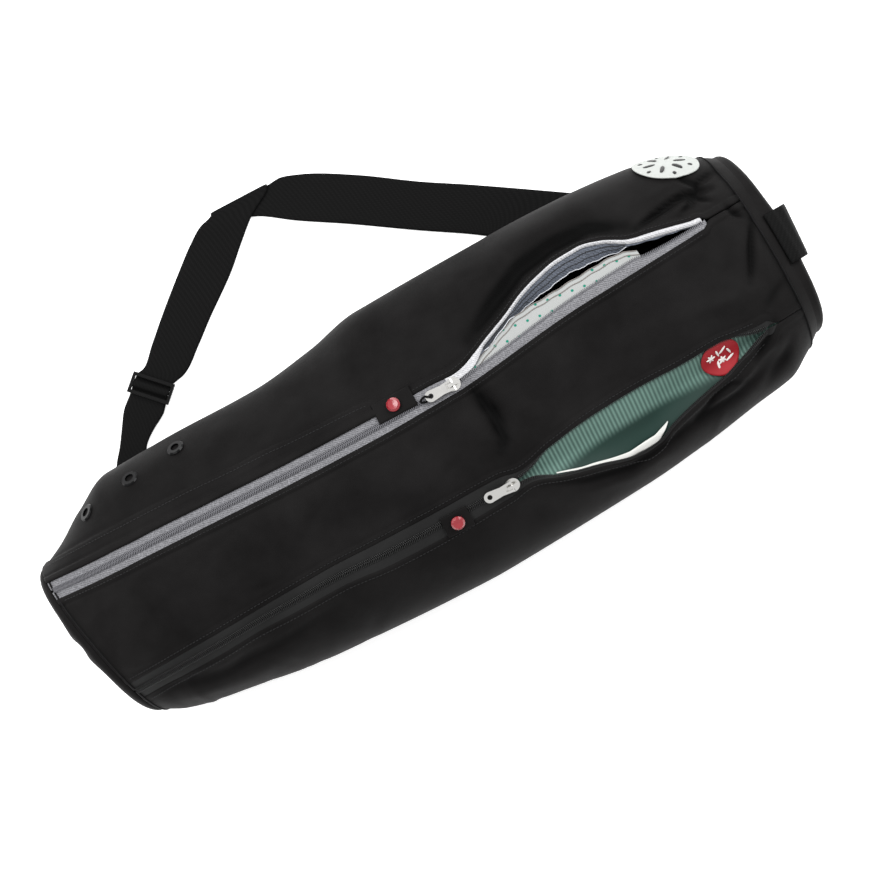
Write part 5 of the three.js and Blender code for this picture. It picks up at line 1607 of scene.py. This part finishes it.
@dataclass
class Fittings:
    """Eyelets, and the two snaps on their tabs."""

    tab_width: float = 18.0

    def tab(self, name: str, along: float, across: float, heading: float, length: float) -> None:
        """A folded tab of cloth on the tuck."""
        y = BODY_WIDTH * across
        turn = math.radians(heading)
        u = np.linspace(-0.5, 0.5, 40)[:, None] * length
        v = np.linspace(-0.5, 0.5, 22)[None, :] * self.tab_width
        ahead = u * math.cos(turn) - v * math.sin(turn)
        aside = u * math.sin(turn) + v * math.cos(turn)
        place = (along + ahead / BODY_LENGTH).ravel()
        edge = np.minimum(length / 2 - np.abs(u), self.tab_width / 2 - np.abs(v))
        soft = -0.8 * np.clip(1 - edge / 1.6, 0, 1) ** 2 + 0 * u
        lift = (2.6 + soft).ravel()
        outer, inner = (
            HULL.at(place, (y + aside).ravel(), height).reshape(*edge.shape, 3)
            for height in (lift, lift - CLOTH)
        )
        uv = np.stack(np.broadcast_arrays(u, v), -1)
        cloth = closed_sheet(f"{name}_snap_tab_cloth", outer, inner, uv)
        dress(cloth, NYLON, nodes=(f"{name}_snap_tab",))

    def build(self) -> None:
        """Makes the tabs and finishes the hard parts."""
        self.tab("main", 0.4819, 0.157, -3, 36)
        self.tab("side", 0.4756, -0.2574, -3, 25)
        finish_node("main_snap", RED_LACQUER)
        finish_node("side_snap", RED_LACQUER)
        for k in (1, 2, 3):
            finish_node(f"eyelet_{k}", ENAMEL)


@dataclass
class Strap:
    """The shoulder strap, its doubled tail and its buckle.

    Each row of webbing: along, across, heading in degrees, share of the full width, how far its edges
    follow the bag's underside, how many layers it lies on.
    """

    leg: tuple = (
        (0.848, 0.36, 0, 1.78, 1, 0), (0.826, 0.401, 0, 1.78, 1, 0), (0.789, 0.468, 0, 1.8, 0, 0),
        (0.702, 0.629, 58, 1.02, 0, 0), (0.6477, 0.7245, 59.4, 1.011, 0, 0),
        (0.5718, 0.8669, 49.8, 1.025, 0, 0),
        (0.5114, 0.9674, 49.4, 0.97, 0, 0), (0.4791, 1.0154, 38.7, 0.835, 0, 0),
    )
    crease: tuple = (0.4402, 1.0625, -2.8, 1.31, 0, 0)
    drop: tuple = (
        (0.4106, 1.0228, -17.4, 1.102, 0, 1), (0.3818, 0.9715, -28.4, 1.053, 0, 0.4),
        (0.349, 0.9059, -28.5, 1.093, 0, 0), (0.2946, 0.803, -33, 0.99, 0, 0),
        (0.2656, 0.7442, -33.2, 0.95, 0, 0), (0.2321, 0.6832, -38, 0.86, 0, 0),
    )
    tail: tuple = (
        (0.183, 0.6, -36, 0.81, 0, 1), (0.163, 0.556, -31, 0.65, 0, 1), (0.15, 0.522, -15, 0.62, 0, 1),
        (0.138, 0.489, -2, 0.69, 0, 1), (0.126, 0.434, 0, 0.76, 0, 1), (0.116, 0.397, 0, 0.78, 1, 1),
        (0.109, 0.365, 0, 0.78, 1, 1),
    )
    buckle: tuple = (0.2079, 0.6552, -48.8)
    # Rows over the buckle's middle bar: millimetres past it, height
    weave: tuple = ((-9, 0.9), (-6, 1.6), (-2.5, 5.8), (0, 6.8), (2.5, 6.4), (6, 3.2), (12, 3.2))
    buckled: float = 34.3
    layer: float = WEBBING + 0.5
    hung: float = GAP + 1.05

    def underside(self, x: float, y: float) -> float:
        """Height over the floor of the cloth's underside near the +Y side."""
        guess = (x - BASE_X) / BODY_LENGTH
        along = guess + BASE_SKEW * max(0.0, 1 - guess / 0.45) ** 1.5 * y / BODY_LENGTH
        left = BODY_WIDTH * float(curve(SECTIONS, 1)(along))
        middle = WIDEST_AT * BODY_HEIGHT * float(curve(SECTIONS, 3)(along))
        rise = (1 - min(1.0, max(0.0, y / left)) ** BOTTOM_POWER) ** (1 / BOTTOM_POWER)
        return max(0.0, middle - (middle + FLOOR_PRESS) * rise)

    def row(self, spec: tuple, height: float, below: float = 0.0) -> tuple[Array, Array, Array]:
        """Both edges and the normal of one row of webbing."""
        along, across, heading, width, sewn, _ = spec
        turn = math.radians(heading)
        half = STRAP_WIDTH * width / 2
        edges = []
        for side in (1, -1):
            x = BASE_X + BODY_LENGTH * along + side * half * math.cos(turn)
            y = BODY_WIDTH * across + side * half * math.sin(turn)
            seated = self.underside(x, y) - self.hung - WEBBING / 2 - below
            edges.append(np.array([x, y, max(WEBBING / 2, blend_between(height, seated, sewn))]))
        return edges[0], edges[1], np.array([0.0, 0.0, 1.0])

    def crease_rows(self) -> list[tuple[Array, Array, Array]]:
        """The strap turns round a half circle whose axis is the crease and comes back on top."""
        a, b, _ = self.row(self.crease, WEBBING / 2)
        line = unit(b - a)
        outward = np.array([line[1], -line[0], 0.0])
        radius = self.layer / 2
        rows = []
        for angle in np.linspace(0, np.pi, 9):
            normal = -outward * math.sin(angle) + np.array([0, 0, math.cos(angle)])
            shift = outward * radius * math.sin(angle)
            height = WEBBING / 2 + radius - radius * math.cos(angle)
            rows.append(tuple(np.array([*(p + shift)[:2], height]) for p in (a, b)) + (normal,))
        return rows

    def weave_rows(self) -> list[tuple[Array, Array, Array]]:
        """Rows over the buckle's middle bar."""
        turn = math.radians(self.buckle[2])
        way = np.array([math.sin(turn), -math.cos(turn), 0.0])
        along = np.array([math.cos(turn), math.sin(turn), 0.0])
        heart = np.array([BASE_X + BODY_LENGTH * self.buckle[0], BODY_WIDTH * self.buckle[1], 0.0])
        rows = []
        for past, height in self.weave:
            middle = heart + way * past + np.array([0, 0, height])
            half = along * self.buckled / 2
            rows.append((middle + half, middle - half, np.array([0.0, 0.0, 1.0])))
        return rows

    def strip(self, name: str, rows: list, nodes: tuple[str, ...], columns: int = 25) -> None:
        """A smooth strip of webbing through rows, with a rounded selvedge.

        Args:
            name: the piece's name.
            rows: edges and normal of each row.
            nodes: CAD nodes that it replaces.
            columns: points across.
        """
        values = np.array([np.concatenate(r) for r in rows])
        middle = (values[:, :3] + values[:, 3:6]) / 2
        t = np.concatenate([[0], np.cumsum(np.maximum(np.linalg.norm(np.diff(middle, axis=0), axis=1), 0.4))])
        count = int(t[-1] / 2.2)
        at = np.unique(np.concatenate([np.linspace(0, t[-1], count), t]))
        table = np.column_stack([t, values])
        smooth = np.stack([curve(table, k)(at) for k in range(1, table.shape[1])], -1)
        a, b = smooth[:, None, :3], smooth[:, None, 3:6]
        normal = unit(smooth[:, 6:9])[:, None, :]
        share = np.linspace(0, 1, columns)[None, :, None]
        surface = blend_between(a, b, share)
        half = WEBBING / 2 * (1 - 0.45 * np.abs(2 * share - 1) ** 14)
        across = np.broadcast_to(share[:, :, 0] * STRAP_WIDTH, surface.shape[:2])
        uv = np.stack([across, np.broadcast_to(at[:, None], across.shape)], -1)
        outer, inner = surface + normal * half, surface - normal * half
        dress(closed_sheet(name, outer, inner, uv), BLACK_WEBBING, nodes=nodes)

    def build(self) -> None:
        """Makes the strap and its return."""
        low = WEBBING / 2
        leg = [self.row(spec, low) for spec in self.leg]
        drop = [self.row(spec, low + spec[5] * self.layer) for spec in self.drop]
        tail = [self.row(spec, low + self.layer) for spec in self.tail]
        weave = self.weave_rows()
        turned = [(a, b, -n) for a, b, n in [*drop, *weave, *tail]]
        self.strip("shoulder_strap_webbing", [*leg, *self.crease_rows(), *turned], ("shoulder_strap",))
        under = [
            (np.array([*a[:2], low]), np.array([*b[:2], low]), n)
            for (a, b, n), (past, _) in zip(weave, self.weave)
            if past > 0
        ]
        below = [self.row(spec, low, self.layer) for spec in self.tail]
        self.strip("strap_return_webbing", [*under, *below], ("strap_return",))
        finish_node("strap_buckle", ACETAL)


@dataclass
class Handle:
    """The grab handle over the top end."""

    # Degrees round the dome from its tip, share of the full stand
    profile: tuple = (
        (80, 0), (68, 0), (50, 0.55), (25, 0.95), (0, 1), (-25, 0.95), (-46, 0.6), (-58, 0.05), (-66, 0),
    )
    seat: float = GAP + 0.35 + WEBBING / 2
    sewn_at: float = 0.9975
    sewn_lift: float = 0.9

    def build(self) -> None:
        """A strip of webbing along a curve offset from the dome's own profile."""
        height = BODY_HEIGHT * float(curve(SECTIONS, 3)(1.0))
        rows = []
        power = 2 / TOP_CAP_POWER
        half = HANDLE_WIDTH / 2
        for turn, stand in self.profile:
            angle = math.radians(turn)
            sign = math.copysign(1, turn) if turn else 0
            rise = sign * abs(math.sin(angle)) ** power
            normal = unit(
                np.array([
                    math.cos(angle) ** (2 - power) / TOP_DOME,
                    0,
                    sign * abs(math.sin(angle)) ** (2 - power) / (height / 2),
                ])
            )
            out = BASE_X + BODY_LENGTH + GAP + TOP_DOME * math.cos(angle) ** power
            heart = np.array([out, HANDLE_MIDDLE, height / 2 * (1 + rise)])
            heart = heart + normal * (self.seat + HANDLE_STAND * stand)
            edge = np.array([stand * HANDLE_SKEW * half, half, 0])
            rows.append((heart + edge, heart - edge, normal))
        places = np.full(2, self.sewn_at)
        sides = np.array([HANDLE_MIDDLE + half, HANDLE_MIDDLE - half])
        ends = HULL.at(places, sides, self.seat + self.sewn_lift)
        normal = unit(HULL.at(places, sides, 9.0)[0] - HULL.at(places, sides, 0.0)[0])
        rows.insert(0, (ends[0], ends[1], normal))
        Strap().strip("grab_handle_webbing", rows, ("grab_handle",))


@dataclass
class Studio:
    """Pale floor, soft lights and the camera straight above."""

    camera_place: tuple[float, float, float] = (3.5, 2.7, 1447.0)
    roll: float = -30.67
    lens: float = 64.3
    floor_glow: float = 0.55
    floor_reach: float = 4.0
    sky: float = 0.75

    def light(self, name: str, place: tuple[float, float, float], size: float, power: float) -> None:
        """A square area light that looks at the bag's middle."""
        data = bpy.data.lights.new(name, "AREA")
        data.size = size
        data.energy = power
        made = bpy.data.objects.new(name, data)
        made.location = place
        made.rotation_mode = "QUATERNION"
        made.rotation_quaternion = Vector(place).to_track_quat("Z", "Y")
        bpy.context.scene.collection.objects.link(made)

    def build(self) -> None:
        """Makes the floor, the lights, the sky and the camera."""
        mesh = bpy.data.meshes.new("floor")
        reach = self.floor_reach
        corners = [(-reach, -reach, 0), (reach, -reach, 0), (reach, reach, 0), (-reach, reach, 0)]
        mesh.from_pydata(corners, [], [(0, 1, 2, 3)])
        floor = bpy.data.objects.new("floor", mesh)
        floor.location = (0, 0, -0.0005)
        bpy.context.scene.collection.objects.link(floor)
        paint = Finish("pale_floor_paint", "fbfbfb", 0.9, specular=0.0).material()
        shader = paint.node_tree.nodes["Principled BSDF"]
        shader.inputs["Emission Color"].default_value = (1, 1, 1, 1)
        shader.inputs["Emission Strength"].default_value = self.floor_glow
        mesh.materials.append(paint)
        world = bpy.data.worlds.new("sky")
        bpy.context.scene.world = world
        world.use_nodes = True
        sky = world.node_tree.nodes["Background"]
        sky.inputs["Color"].default_value = (1, 1, 1, 1)
        sky.inputs["Strength"].default_value = self.sky
        self.light("softbox_left", (-0.9, 0.9, 1.6), 1.2, 26)
        self.light("softbox_right", (1.2, 0.4, 1.3), 0.9, 18)
        camera_data = bpy.data.cameras.new("camera")
        camera_data.lens = self.lens
        camera = bpy.data.objects.new("camera", camera_data)
        camera.location = (np.array(self.camera_place) + ORIGIN) / 1000
        camera.rotation_euler = (0, 0, math.radians(self.roll))
        bpy.context.scene.collection.objects.link(camera)
        bpy.context.scene.camera = camera
        bpy.context.scene.view_settings.view_transform = "Standard"


def main() -> None:
    """Builds every sub-assembly in order."""
    logging.basicConfig(level=logging.INFO, format="%(name)s %(message)s")
    for assembly in (Studio(), Body(), Zips(), Linings(), Badge(), Fittings(), Strap(), Handle()):
        assembly.build()
        LOG.info("made %s", type(assembly).__name__)


if __name__ == "__main__":
    main()
